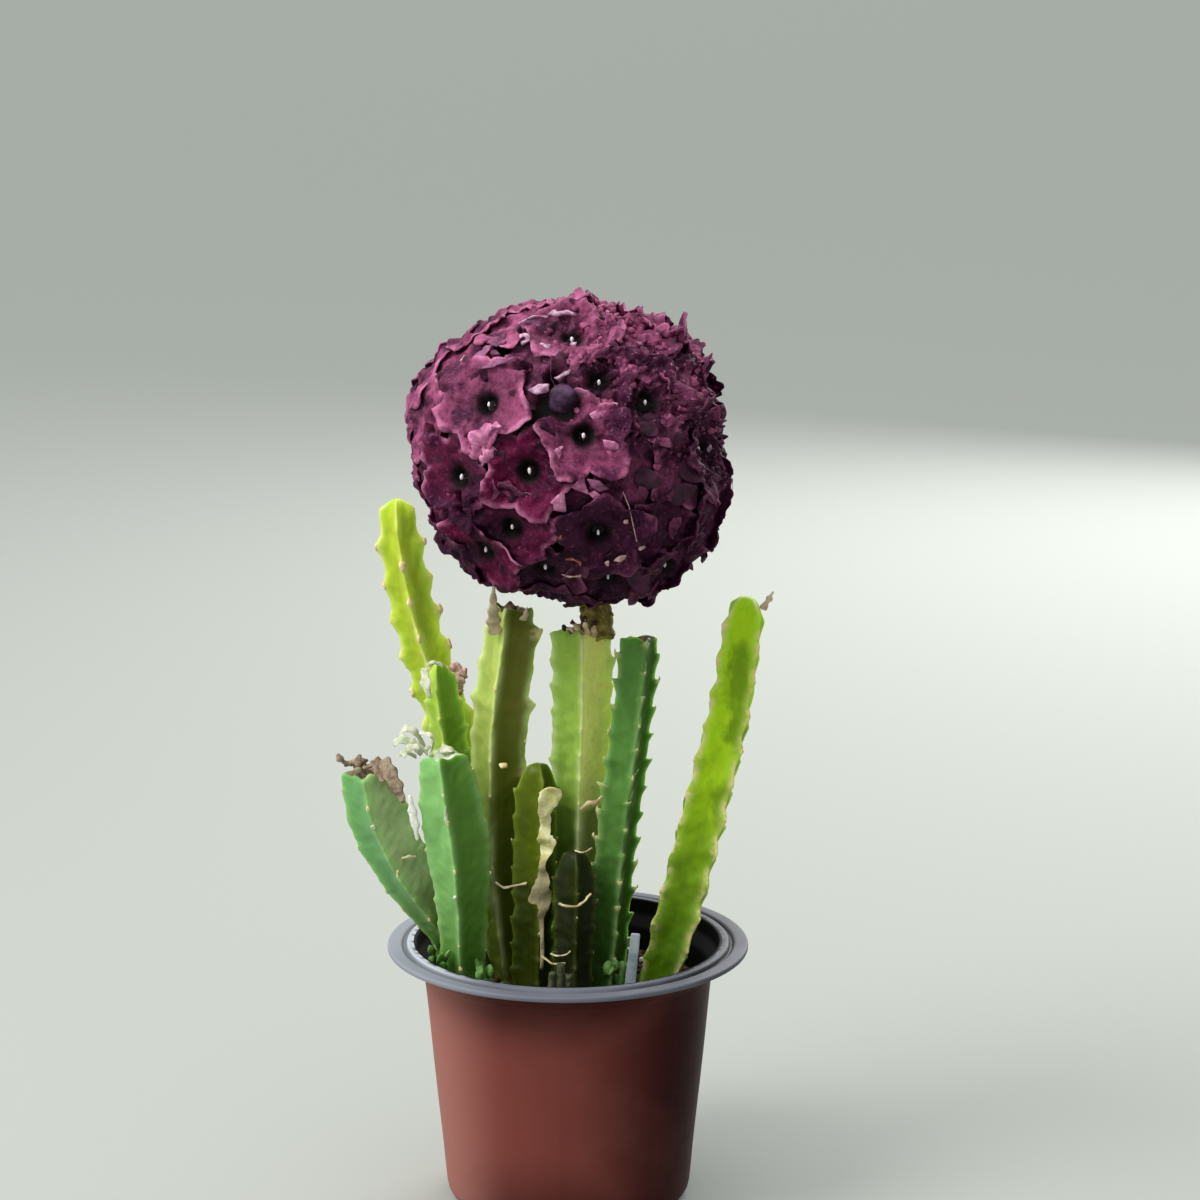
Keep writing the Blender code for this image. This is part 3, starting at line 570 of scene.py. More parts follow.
@dataclass
class Pot:
    """The nursery pot: one thin moulded shell, brown outside, with a wide grey rim and a dark inside."""

    rim_radius: float = 0.0500
    rim_top: float = 0.0729
    rim_thickness: float = 0.0011
    rim_inner_radius: float = 0.0420
    rim_bead_rise: float = 0.0004
    groove_radius: float = 0.0454
    groove_half_width: float = 0.0009
    groove_depth: float = 0.0008
    body_top: float = 0.0660
    body_top_radius: float = 0.0401
    body_base_radius: float = 0.0337
    base_corner: float = 0.0040
    wall: float = 0.0010
    floor: float = 0.0012
    drain_holes: int = 5
    drain_ring_radius: float = 0.0200
    drain_radius: float = 0.0030
    rib_height: float = 0.00030
    sides: int = 180
    longest_row: float = 0.0035

    @staticmethod
    def rounded(corners: list[tuple[float, float, float]], steps: int = 5) -> list[tuple[float, float]]:
        """Round the corners of an open outline.

        Args:
            corners: (radius, height, rounding) of each corner, the first and last left sharp.
            steps: Points along each round.

        Returns:
            (radius, height) of each point of the outline.
        """
        line = [corners[0][:2]]
        for before, here, after in zip(corners, corners[1:], corners[2:]):
            middle = np.array(here[:2])
            into = np.array(before[:2]) - middle
            out = np.array(after[:2]) - middle
            reach = min(here[2], np.linalg.norm(into) * 0.49, np.linalg.norm(out) * 0.49)
            start = middle + into / np.linalg.norm(into) * reach
            end = middle + out / np.linalg.norm(out) * reach
            for k in range(steps + 1):
                t = k / steps
                point = start * (1 - t) ** 2 + middle * 2 * t * (1 - t) + end * t**2
                line.append((float(point[0]), float(point[1])))
        return line + [corners[-1][:2]]

    def split(self, profile: list[tuple[float, float]]) -> np.ndarray:
        """Part the long straight stretches of an outline, so that relief and paint can change along them."""
        line = np.array(profile)
        parts = [line[:1]]
        for start, end in zip(line, line[1:]):
            count = max(1, math.ceil(float(np.linalg.norm(end - start)) / self.longest_row))
            parts.append(start + (end - start) * (np.arange(1, count + 1) / count)[:, None])
        return np.concatenate(parts)

    def outside(self) -> list[tuple[float, float]]:
        """The brown side, from the middle of the base to the rim's lower edge."""
        under = self.rim_top - self.rim_thickness * 1.5
        step = self.rim_inner_radius + self.wall
        return self.rounded([
            (0.0, 0.0, 0.0), (self.body_base_radius, 0.0, self.base_corner),
            (self.body_top_radius, self.body_top, 0.0012), (step, self.body_top + 2 * self.wall, 0.0012),
            (step, under, 0.0012), (self.rim_radius - 0.9 * self.rim_thickness, under, 0.0004),
        ])

    def rim(self) -> list[tuple[float, float]]:
        """The grey side: the rolled edge, the flat, the groove and the inner bead."""
        outer = self.groove_radius + self.groove_half_width
        bead = self.rim_top + self.rim_bead_rise
        under = self.rim_top - self.rim_thickness * 1.5
        return self.rounded([
            (self.rim_radius - 0.9 * self.rim_thickness, under, 0.0), (self.rim_radius, under + 0.0002, 0.0004),
            (self.rim_radius, self.rim_top - 0.0001, 0.0008), (outer, self.rim_top, 0.0004),
            (self.groove_radius + 0.0003, self.rim_top - self.groove_depth, 0.0002),
            (self.groove_radius - 0.0003, self.rim_top - self.groove_depth, 0.0002),
            (self.groove_radius - self.groove_half_width, bead, 0.0005), (self.rim_inner_radius + 0.0008, bead, 0.0),
        ])

    def inside(self) -> list[tuple[float, float]]:
        """The dark side: the wall from the bead down to the middle of the floor."""
        bead = self.rim_top + self.rim_bead_rise
        return self.rounded([
            (self.rim_inner_radius + 0.0008, bead, 0.0), (self.rim_inner_radius, bead, 0.0009),
            (self.rim_inner_radius, self.body_top + 3 * self.wall, 0.0010),
            (self.body_top_radius - self.wall, self.body_top, 0.0010),
            (self.body_base_radius - self.wall, self.floor, self.base_corner - self.wall), (0.0, self.floor, 0.0),
        ])

    def wall_rib(self, points: np.ndarray) -> np.ndarray:
        """Relief of the soft mould line down the front of the wall and of slight unevenness all round."""
        radius = np.hypot(points[:, 0], points[:, 1])
        azimuth = np.arctan2(points[:, 0], -points[:, 1])
        on_wall = smooth(points[:, 2], 0.008, 0.014) * (1 - smooth(points[:, 2], 0.056, 0.064)) * (radius > 0.025)
        line = np.exp(-((azimuth + 0.055) / 0.02) ** 2) * self.rib_height
        return on_wall * (line + 0.00012 * ripple(points, 0.045, 3))

    def build(self) -> None:
        """Turn the shell, bore the drain holes and dress it."""
        draft = Draft("faded", "fresh")
        for finish, profile in enumerate((self.outside(), self.rim(), self.inside())):
            line = self.split(profile)
            turn = 2 * math.pi * np.arange(self.sides) / self.sides
            rows = np.stack([line[:, :1] * np.cos(turn), line[:, :1] * np.sin(turn),
                             np.broadcast_to(line[:, 1:], (len(line), self.sides))], axis=-1).reshape(-1, 3)
            axis = np.hypot(rows[:, 0], rows[:, 1]) + 1e-9
            rows[:, :2] *= (1 + self.wall_rib(rows) / axis)[:, None]
            aside = rows[:, 0] / axis
            # Painted light on all three sides of the shell: a highlight on the left, where the light falls, and painted
            # shade on the right, away from it.
            faded = smooth(-aside, 0.42, 1.0) * 0.85 + smooth(-aside, -0.2, 0.6) * 0.08
            fresh = smooth(aside, -0.05, 0.85)
            if finish == 0:
                # Painted shade under the overhanging rim, and the wall darker towards the foot.
                low = 0.66 * (1 - smooth(rows[:, 2], 0.003, 0.026))
                fresh = np.maximum(fresh, np.maximum(0.80 * smooth(rows[:, 2], 0.050, 0.068), low))
            if finish == 1:
                # On the rim: painted shade in the groove and on the inner bead, a painted highlight along the bead's
                # crest at the left, and the flat paler at the left and darker at the right for the light.
                slit = np.exp(-(((axis - self.groove_radius) / self.groove_half_width) ** 4)) * smooth(abs(aside), 0.1, 0.7)
                bead = smooth(self.groove_radius - axis, 0.0005, 0.0010)
                crest = bead * (1 - smooth(self.groove_radius - axis, 0.0012, 0.0025))
                faded = 0.26 * smooth(-aside, 0.2, 0.9) * (1 - bead) + crest * smooth(-aside, 0.4, 0.9) * 0.8
                fresh = np.maximum(np.maximum(fresh * 0.42, slit), (bead - crest) * smooth(-aside, 0.2, 0.6))
            draft.add(rows, [grid_faces(len(line), self.sides)], finish, faded=faded, fresh=fresh)
        pot = draft.piece("pot_shell", [POT_OUTSIDE.material(), POT_RIM.material(), POT_INSIDE.material()], "pot", "pot")
        self.close_seams(pot)
        self.bore(pot)

    @staticmethod
    def close_seams(pot: bpy.types.Object) -> None:
        """Join the three sides into one closed shell."""
        mesh = bmesh.new()
        mesh.from_mesh(pot.data)
        bmesh.ops.remove_doubles(mesh, verts=mesh.verts, dist=2e-6)
        bmesh.ops.dissolve_degenerate(mesh, edges=mesh.edges, dist=1e-7)
        bmesh.ops.recalc_face_normals(mesh, faces=mesh.faces)
        mesh.to_mesh(pot.data)
        mesh.free()

    def bore(self, pot: bpy.types.Object) -> None:
        """Cut the drain holes through the floor."""
        draft = Draft()
        for k in range(self.drain_holes):
            angle = 2 * math.pi * (k + 0.5) / self.drain_holes
            foot = np.array([math.cos(angle), math.sin(angle), 0.0]) * self.drain_ring_radius - UP * self.floor
            shaft(draft, [foot, foot + UP * 3 * self.floor], self.drain_radius, self.drain_radius, (1, 0, 0), 24)
        mesh = bpy.data.meshes.new("drain_cutters")
        mesh.from_pydata(np.concatenate(draft.points).tolist(), [], draft.faces)
        cutters = bpy.data.objects.new("drain_cutters", mesh)
        bpy.context.scene.collection.objects.link(cutters)
        modifier = pot.modifiers.new("drain_holes", "BOOLEAN")
        modifier.operation = "DIFFERENCE"
        modifier.object = cutters
        bpy.context.view_layer.update()
        graph = bpy.context.evaluated_depsgraph_get()
        bored = bpy.data.meshes.new_from_object(pot.evaluated_get(graph))
        pot.modifiers.clear()
        pot.data = bored
        bpy.data.objects.remove(cutters, do_unlink=True)
        pot.data.set_sharp_from_angle(angle=math.radians(50))


@dataclass
class Soil:
    """The column of potting mix with crumbs, bark and white perlite on top."""

    pot: Pot
    top: float = 0.0600
    relief: float = 0.0011
    wave: float = 0.0110
    crumbs: int = 620
    perlites: int = 46
    seed: int = 5
    gap: float = 0.0003

    @property
    def radius(self) -> float:
        """The column's radius at its top."""
        share = (self.top - self.pot.base_corner) / (self.pot.body_top - self.pot.base_corner)
        outer = self.pot.body_base_radius + (self.pot.body_top_radius - self.pot.body_base_radius) * share
        return outer - self.pot.wall - 2 * self.gap

    def lift(self, x: np.ndarray, y: np.ndarray) -> np.ndarray:
        """Height of the top above its mean level: the frame's own waves and finer crumbs."""
        fade = np.maximum(0.0, 1.0 - (np.hypot(x, y) / self.radius) ** 8)
        across, deep = 2 * math.pi * x / self.wave, 2 * math.pi * y / self.wave
        waves = np.sin(across + 1.3) * np.cos(1.1 * deep) + 0.6 * np.sin(2.2 * deep + 1.6 * across)
        flat = np.stack([x, y, np.zeros_like(x)], axis=-1)
        crumbs = 0.45 * ripple(flat, 0.0042, 21) + 0.28 * ripple(flat, 0.0019, 22)
        return (self.relief * 0.5 * waves + 0.0006 * crumbs) * fade

    def build(self) -> None:
        """The column and everything that lies on it."""
        self.build_column()
        self.build_crumbs()

    def build_column(self) -> None:
        """The column itself."""
        sides, rings = 200, 46
        turn = 2 * math.pi * np.arange(sides) / sides
        low = self.pot.body_base_radius - self.pot.base_corner
        bottom = self.pot.floor + self.gap
        corner = self.pot.base_corner + self.gap
        corner_share = (corner - self.pot.base_corner) / (self.pot.body_top - self.pot.base_corner)
        corner_radius = (self.pot.body_base_radius - self.pot.wall - 2 * self.gap
                         + (self.pot.body_top_radius - self.pot.body_base_radius) * corner_share)
        line = [(low, bottom), (corner_radius, corner), (self.radius, self.top - 2 * self.gap)]
        line += [(self.radius * k / (rings + 1), self.top) for k in range(rings, 0, -1)]
        line = np.array(line)
        x, y = line[:, :1] * np.cos(turn), line[:, :1] * np.sin(turn)
        z = np.broadcast_to(line[:, 1:], x.shape).copy()
        z[3:] += self.lift(x[3:], y[3:])
        points = np.concatenate([np.stack([x, y, z], axis=-1).reshape(-1, 3), [[0, 0, bottom], [0, 0, self.top]]])
        count = len(line) * sides
        draft = Draft()
        draft.add(points, [grid_faces(len(line), sides), fan_faces(0, sides, count, flip=True),
                           fan_faces(count - sides, sides, count + 1)])
        draft.piece("soil_column", [POTTING_MIX.material()], "soil", "soil")

    def build_crumbs(self) -> None:
        """Crumbs of mix, bits of bark and grains of perlite, sunk a little into the top."""
        draws = np.random.default_rng(self.seed)
        kinds = (("soil_crumbs", self.crumbs, (0.0006, 0.0017), 0.55, POTTING_MIX),
                 ("bark_bits", self.crumbs // 4, (0.0008, 0.0026), 0.45, BARK),
                 ("perlite_grains", self.perlites, (0.0007, 0.0019), 0.85, PERLITE))
        for name, count, (small, large), squat, finish in kinds:
            draft = Draft()
            for k in range(count):
                away = self.radius * 0.975 * math.sqrt(draws.uniform())
                angle = draws.uniform(0, 2 * math.pi)
                x, y = away * math.cos(angle), away * math.sin(angle)
                size = small + (large - small) * draws.uniform() ** 2
                sizes = size * np.array([1.0, draws.uniform(0.55, 1.0), squat])
                tilt = turned_axes(unit(draws.normal(size=3) * 0.35 + UP), draws.uniform(0, 6.28))
                height = self.top + float(self.lift(np.array(x), np.array(y))) + size * squat * 0.35
                lump(draft, (x, y, height), sizes, int(draws.integers(1 << 30)), 2, 0.3, frame_of=tilt)
            if finish is PERLITE:
                for x, y, size in ((0.0128, -0.0215, 0.0016), (0.0112, -0.0238, 0.0012), (0.0142, -0.0236, 0.0011)):
                    lump(draft, (x, y, self.top + size), (size, size, size * 0.9), int(x * 1e5), 3, 0.2)
            draft.piece(name, [finish.material()], "soil")


class Top(Enum):
    """How a stem ends."""

    ROUNDED = "grown to a round tip"
    CUT = "cut off or broken, and dried"


@dataclass(frozen=True)
class Stem:
    """One four-angled stem: where it stands, the line it grows along and how its ridges are toothed."""

    name: str
    skin: StemSkin
    stand: tuple[float, float]
    line: tuple[tuple[float, float, float], ...]
    radii: tuple[float, ...]
    turn: float = 0.0
    foot: float = 0.0055
    top: Top = Top.ROUNDED
    tooth: float = 0.0010
    bold_ridge: float = 1.0
    areole: float = 0.0004
    hooked: bool = False
    joints: tuple[float, ...] = ()
    pitch: float = 0.0072
    blunt: float = 0.0


# Each skin: body, foot, ridge, then the painted light and shade of the right front faces.
LIME = StemSkin("lime_skin", "lime_stem", paint(172, 192, 48), paint(128, 154, 34), paint(226, 224, 150),
                paint(206, 222, 70), 0.6, 0.42)
LIME_RIGHT = StemSkin("lime_right_skin", "lime_stem", paint(166, 206, 20), paint(62, 100, 8), paint(206, 214, 110),
                      paint(108, 146, 8), 0.5, 0.60)
DARK = StemSkin("dark_green_skin", "dark_green_stem", paint(164, 196, 66), paint(66, 88, 22), paint(186, 196, 120),
                paint(108, 146, 38))
DARK_LOW = StemSkin("brown_green_skin", "dark_green_stem", paint(32, 40, 7), paint(22, 28, 5), paint(86, 88, 34),
                    paint(26, 34, 6), 0.3)
OLIVE = StemSkin("olive_skin", "olive_stem", paint(170, 188, 92), paint(78, 92, 16), paint(212, 216, 158),
                 paint(106, 108, 38), 0.6)
OLIVE_LOW = StemSkin("olive_low_skin", "olive_stem", paint(84, 100, 8), paint(40, 50, 4), paint(136, 146, 54),
                     paint(66, 82, 12), 0.4)
MID_GREEN = StemSkin("mid_green_skin", "mid_green_stem", paint(144, 178, 74), paint(58, 88, 18), paint(214, 222, 170),
                     paint(238, 238, 134), 0.7)
BLUE_GREEN = StemSkin("blue_green_skin", "blue_green_stem", paint(84, 130, 56), paint(38, 66, 12), paint(140, 172, 110),
                      paint(54, 92, 22), 0.5)
TEAL = StemSkin("teal_skin", "blue_green_stem", paint(122, 174, 100), paint(74, 116, 36), paint(170, 204, 146),
                paint(86, 128, 48), 0.3, 0.16)
TEAL_FAR = StemSkin("teal_far_skin", "blue_green_stem", paint(100, 154, 92), paint(90, 118, 44), paint(158, 194, 134),
                    paint(166, 188, 134), 0.3, 0.12)

STEMS = (
    Stem("left_tall_stem", LIME, (-0.0120, 0.0240),
         ((-0.0165, 0.0245, 0.075), (-0.0242, 0.0245, 0.100), (-0.0321, 0.0240, 0.125), (-0.0377, 0.0235, 0.143),
          (-0.0427, 0.0230, 0.160), (-0.0464, 0.0230, 0.180), (-0.0476, 0.0230, 0.1932)),
         (0.0056, 0.0060, 0.0062, 0.0062, 0.0060, 0.0055, 0.0042), tooth=0.0016, areole=0.0010, pitch=0.0104, blunt=0.75),
    Stem("left_shoot", DARK, (-0.0220, 0.0150),
         ((-0.0245, 0.0125, 0.075), (-0.0285, 0.0090, 0.097), (-0.0318, 0.0068, 0.122), (-0.0338, 0.0055, 0.138),
          (-0.0354, 0.0055, 0.151)),
         (0.0050, 0.0054, 0.0056, 0.0052, 0.0036), turn=-15.0, foot=0.0045),
    Stem("left_middle_stem", OLIVE, (-0.0155, 0.0040),
         ((-0.0170, 0.0020, 0.072), (-0.0190, 0.0010, 0.098), (-0.0191, 0.0010, 0.124), (-0.0180, 0.0010, 0.141),
          (-0.0160, 0.0010, 0.156), (-0.0152, 0.0010, 0.1672)),
         (0.0062, 0.0076, 0.0078, 0.0078, 0.0074, 0.0062), turn=-14.0, top=Top.CUT, tooth=0.0009, bold_ridge=2.6,
         joints=(0.0920, 0.1400), pitch=0.0100, blunt=0.5),
    Stem("middle_short_stem", OLIVE_LOW, (-0.0100, -0.0090),
         ((-0.0098, -0.0090, 0.073), (-0.0092, -0.0090, 0.098), (-0.0086, -0.0090, 0.115), (-0.0080, -0.0090, 0.1262)),
         (0.0058, 0.0060, 0.0060, 0.0052), turn=20.0, areole=0.00025, joints=(0.0930,)),
    Stem("flower_stem", MID_GREEN, (0.0010, 0.0030),
         ((0.0020, 0.0010, 0.080), (0.0028, 0.0, 0.105), (0.0034, 0.0, 0.125), (0.0040, 0.0, 0.141),
          (0.0040, 0.0, 0.1612)),
         (0.0068, 0.0076, 0.0079, 0.0081, 0.0084), top=Top.CUT, tooth=0.0008, joints=(0.1120,), blunt=0.3),
    Stem("blue_green_stem", BLUE_GREEN, (0.0095, -0.0090),
         ((0.0107, -0.0095, 0.071), (0.0130, -0.0090, 0.100), (0.0147, -0.0080, 0.115), (0.0165, -0.0070, 0.129),
          (0.0184, -0.0060, 0.145), (0.0195, -0.0050, 0.1600)),
         (0.0056, 0.0058, 0.0058, 0.0058, 0.0056, 0.0056), turn=18.0, top=Top.CUT, tooth=0.0016, hooked=True),
    Stem("front_short_stem", DARK_LOW, (0.0010, -0.0200),
         ((0.0014, -0.0182, 0.070), (0.0019, -0.0165, 0.088), (0.0020, -0.0160, 0.1035)),
         (0.0052, 0.0055, 0.0052), turn=8.0, foot=0.0050, areole=0.00025, joints=(0.0770, 0.0910)),
    Stem("right_tall_stem", LIME_RIGHT, (0.0245, -0.0060),
         ((0.0275, -0.0065, 0.072), (0.0320, -0.0060, 0.089), (0.0370, -0.0050, 0.109), (0.0418, -0.0040, 0.129),
          (0.0452, -0.0030, 0.145), (0.0473, -0.0020, 0.159), (0.0490, -0.0020, 0.1710)),
         (0.0074, 0.0080, 0.0079, 0.0077, 0.0073, 0.0070, 0.0062), turn=38.0, foot=0.0058, tooth=0.0012, pitch=0.0096,
         blunt=0.8),
    Stem("far_left_stem", TEAL_FAR, (-0.0275, 0.0020),
         ((-0.0306, 0.0010, 0.070), (-0.0352, -0.0012, 0.079), (-0.0422, -0.0028, 0.090), (-0.0483, -0.0040, 0.101),
          (-0.0522, -0.0040, 0.111), (-0.0545, -0.0040, 0.1225)),
         (0.0056, 0.0064, 0.0080, 0.0087, 0.0088, 0.0080), turn=-6.0, top=Top.CUT, tooth=0.0004, areole=0.0005),
    Stem("front_left_stem", TEAL, (-0.0245, -0.0130),
         ((-0.0282, -0.0130, 0.069), (-0.0288, -0.0140, 0.088), (-0.0297, -0.0150, 0.104), (-0.0315, -0.0160, 0.117),
          (-0.0335, -0.0160, 0.1300)),
         (0.0058, 0.0074, 0.0090, 0.0088, 0.0066), turn=-8.0, top=Top.CUT, tooth=0.0004, areole=0.0005),
)


@dataclass(frozen=True)
class Tooth:
    """Where one dry tooth tip sits, and which way it points."""

    place: np.ndarray
    outward: np.ndarray
    along: np.ndarray
    areole: float
    hooked: bool
    at_front: bool


@dataclass
class StemClump:
    """All stems, with their teeth, cut tops and the dry bits that cling to their teeth."""

    soil_top: float = 0.0600
    hole_depth: float = 0.0110
    gap: float = 0.0003
    ridges: int = 4
    hollow: float = 0.60
    foot_roundness: float = 0.96
    foot_length: float = 0.0090
    round_tip: float = 0.0080
    cut_tip: float = 0.0016
    cut_dish: float = 0.0016
    line_steps: int = 24
    row_step: float = 0.0007
    columns: int = 64
    seed: int = 17
    teeth: list[Tooth] = field(default_factory=list)

    def axis(self, stem: Stem) -> tuple[np.ndarray, np.ndarray, np.ndarray]:
        """The stem's line, upright where it leaves the soil.

        Args:
            stem: Which stem.

        Returns:
            Points along it, the corner radius at each, and the length up to each.
        """
        points = np.array([(*stem.stand, self.soil_top + 2 * self.gap), *stem.line])
        radii = np.array([stem.foot, *stem.radii])
        slopes = np.empty_like(points)
        slopes[0] = UP * np.linalg.norm(points[1] - points[0])
        slopes[1:-1] = (points[2:] - points[:-2]) / 2
        slopes[-1] = points[-1] - points[-2]
        t = (np.arange(self.line_steps) / self.line_steps)[:, None]
        curve = [points[k] * (2 * t**3 - 3 * t**2 + 1) + slopes[k] * (t**3 - 2 * t**2 + t)
                 + points[k + 1] * (3 * t**2 - 2 * t**3) + slopes[k + 1] * (t**3 - t**2)
                 for k in range(len(points) - 1)]
        place = np.concatenate([*curve, points[-1:]])
        radius = np.interp(np.arange(len(place)) / self.line_steps, np.arange(len(radii)), radii)
        lengths = np.concatenate([[0.0], np.cumsum(np.linalg.norm(np.diff(place, axis=0), axis=1))])
        return place, radius, lengths

    def angles(self) -> np.ndarray:
        """Angles round a stem, closer together near its ridges."""
        quarter = self.columns // self.ridges
        step = np.arange(self.columns) % quarter * 2 / quarter - 1
        near = math.pi / 4 * (1.35 * step - 0.35 * step**3)
        return math.pi / 4 + near + math.pi / 2 * (np.arange(self.columns) // quarter)

    @staticmethod
    def section(angle: np.ndarray, hollow: np.ndarray) -> np.ndarray:
        """The section: nearly flat faces between sharp ridges.

        Args:
            angle: Angle round the stem, one column each.
            hollow: Share of the corner radius at the middle of a face, one row each.

        Returns:
            Share of the corner radius at each row and column.
        """
        from_face = angle % (math.pi / 2) - math.pi / 4
        power = np.log(hollow) / math.log(math.sqrt(0.5))
        inwards = 1 - hollow * np.cos(from_face) ** -power
        return 1 - np.sqrt(inwards**2 + 0.015**2)

    def tooth_rise(self, distance: np.ndarray, angle: np.ndarray, row: float, sizes: np.ndarray,
                   blunt: float) -> np.ndarray:
        """How far the teeth stand out.

        Args:
            distance: Length along the stem, one row each.
            angle: Angle round the stem, one column each.
            row: Length between the teeth of one ridge and those of the next.
            sizes: Height of each tooth, by ridge and by row.
            blunt: How blunt the teeth are, from 0 for hooks to 1 for knobs.

        Returns:
            The rise at each row and column.
        """
        rise = np.zeros((len(distance), len(angle)))
        for ridge in range(self.ridges):
            off = (angle - ridge * math.pi / 2 + math.pi) % (2 * math.pi) - math.pi
            near = np.where(np.abs(off) < math.pi / 4, np.cos(2 * off) ** (8 - 4 * blunt), 0.0)
            phase = (distance / row - (ridge + 1) % 2) / 2
            which = np.round(phase).astype(int)
            along = (phase - which) * 2
            below = np.clip(1 + along / 0.95, 0, 1) ** (2.2 - 1.1 * blunt)
            above = np.clip(1 - along / (0.42 + 0.3 * blunt), 0, 1) ** (1.6 - 0.9 * blunt)
            shape = np.where(along < 0, below, above)
            rise += (shape * sizes[ridge, np.clip(which, 0, sizes.shape[1] - 1)])[:, None] * near
        return rise

    def build_stem(self, stem: Stem, draws: np.random.Generator) -> None:
        """Make one stem.

        Args:
            stem: Which stem.
            draws: Random draws for its unevenness.
        """
        line, radii, lengths = self.axis(stem)
        total = lengths[-1]
        rounded = stem.top is Top.ROUNDED
        tip = self.round_tip if rounded else self.cut_tip
        row = (total - tip) / round((total - tip) / (stem.pitch / 2))
        count = max(12, round(total / self.row_step))
        body = np.linspace(0.0, total - tip, count)
        share = np.sin(np.linspace(0, math.pi / 2, 13)[1:]) if rounded else np.array([0.35, 0.7, 0.95, 1.0])
        distance = np.concatenate([body, total - tip + tip * share])
        fall = np.sqrt(np.maximum(0.0, 1 - share**2)) if rounded else np.array([0.995, 0.97, 0.90, 0.82])
        shrink = np.concatenate([np.ones(count), fall])
        place = np.stack([np.interp(distance, lengths, line[:, k]) for k in range(3)], axis=-1)
        radius = np.interp(distance, lengths, radii)
        direction = unit(np.gradient(place, axis=0))
        direction[0] = UP
        turn = math.radians(stem.turn)
        side = np.array([math.sin(turn), -math.cos(turn), 0.0])
        sides = []
        for towards in direction:
            side = unit(side - towards * (side @ towards))
            sides.append(side)
        sides = np.array(sides)
        others = np.cross(direction, sides)
        angle = self.angles()
        grown = np.minimum(1.0, distance / self.foot_length)[:, None]
        hollow = self.foot_roundness + (self.hollow - self.foot_roundness) * grown
        hollow = hollow + (1 - shrink[:, None]) * (self.foot_roundness - hollow) * (1.0 if rounded else 0.3)
        section = self.section(angle, hollow)
        teeth = int(total / row) + 2
        sizes = stem.tooth * draws.uniform(0.75, 1.3, (self.ridges, teeth))
        if stem.bold_ridge > 1:
            sizes[1] *= np.where(np.arange(teeth) % 2 == 0, stem.bold_ridge, 0.4)
        rise = self.tooth_rise(distance, angle, row, sizes, stem.blunt) * grown * shrink[:, None]
        outward = sides[:, None] * np.cos(angle)[:, None] + others[:, None] * np.sin(angle)[:, None]
        swell = sum(0.035 * np.exp(-((place[:, 2] - z - 0.0006) / 0.0016) ** 2)
                    - 0.03 * np.exp(-((place[:, 2] - z + 0.0020) / 0.0014) ** 2) for z in stem.joints)
        reach = radius[:, None] * shrink[:, None] * section * (1 + np.reshape(swell, (-1, 1)) * np.ones(1)) + rise
        points = place[:, None] + outward * reach[..., None]
        points += direction[:, None] * (rise * 0.9 * (1 - stem.blunt))[..., None]
        uneven = 0.00022 * ripple(points, 0.0085, 31) + 0.00010 * ripple(points, 0.0030, 32)
        points += outward * (uneven * grown * shrink[:, None])[..., None]
        if not rounded:
            ragged = 0.0007 * ripple(points[-4:], 0.0045, int(1e5 * total) % 997)
            points[-4:] += direction[-4:, None] * (ragged * np.array([0.2, 0.6, 1.0, 1.0])[:, None])[..., None]
        height = distance / total
        for joint in stem.joints:
            height = height * (1 - 0.32 * smooth(joint - place[:, 2], -0.0003, 0.0005))
        self.finish_stem(stem, points, direction[-1], rise, height, sides, others)
        self.note_teeth(stem, distance, points, rise, direction, outward, row, total - tip)

    def finish_stem(self, stem: Stem, points: np.ndarray, towards: np.ndarray, rise: np.ndarray,
                    height: np.ndarray, sides: np.ndarray, others: np.ndarray) -> None:
        """Close a stem's skin at both ends and paint it.

        Args:
            stem: Which stem.
            points: Its skin, row by row from the soil up.
            towards: The way it points at its top.
            rise: How far teeth stand out at each point.
            height: Share of the stem's length at each row.
            sides: The first ridge's direction at each row.
            others: The second ridge's direction at each row.
        """
        rows, columns = points.shape[:2]
        foot = points[:1] - UP * (self.hole_depth - self.gap)
        skin = np.concatenate([foot, points])
        angle = self.angles()
        outward = sides[:, None] * np.cos(angle)[:, None] + others[:, None] * np.sin(angle)[:, None]
        # Painted light and shade: the right-hand faces towards the front take the skin's shaded colour.
        shaded = smooth(outward[..., 0] - sides[:, :1], -0.06, 0.10) * smooth(-outward[..., 1], -0.35, -0.05)
        pale = np.abs(np.cos(2 * angle)) ** 24 * np.ones((rows, 1))
        values = {"height": np.repeat(height[:, None], columns, axis=1), "shaded": shaded, "ridge": pale,
                  "scar": np.clip(smooth(rise, 0.0006, 0.0016) * 0.6 + pale**2 * self.tan_edge(stem), 0, 1)}
        draft = Draft("height", "shaded", "ridge", "scar")
        painted = {name: np.concatenate([value[:1], value]) for name, value in values.items()}
        rounded = stem.top is Top.ROUNDED
        faces = [grid_faces(rows + 1, columns), fan_faces(0, columns, (rows + 1) * columns, flip=True)]
        extra = [foot[0].mean(axis=0)]
        last = points[-1]
        middle = last.mean(axis=0)
        if rounded:
            extra.append(middle + towards * self.gap)
            faces.append(fan_faces(rows * columns, columns, (rows + 1) * columns + 1))
            flat = {name: np.concatenate([value.reshape(-1), [0.0, 0.6 if name == "height" else 0.0]])
                    for name, value in painted.items()}
            draft.add(np.concatenate([skin.reshape(-1, 3), extra]), faces, **flat)
        else:
            flat = {name: np.concatenate([value.reshape(-1), [0.0]]) for name, value in painted.items()}
            draft.add(np.concatenate([skin.reshape(-1, 3), extra]), faces, **flat)
            shares = np.linspace(1.0, 0.08, 12)
            rings = middle + (last - middle) * shares[:, None, None]
            dish = self.cut_dish * (1 - shares**2)[:, None] * np.ones(columns)
            dish = dish + 0.00045 * ripple(rings, 0.0026, 57) * smooth(1 - shares, 0.02, 0.3)[:, None]
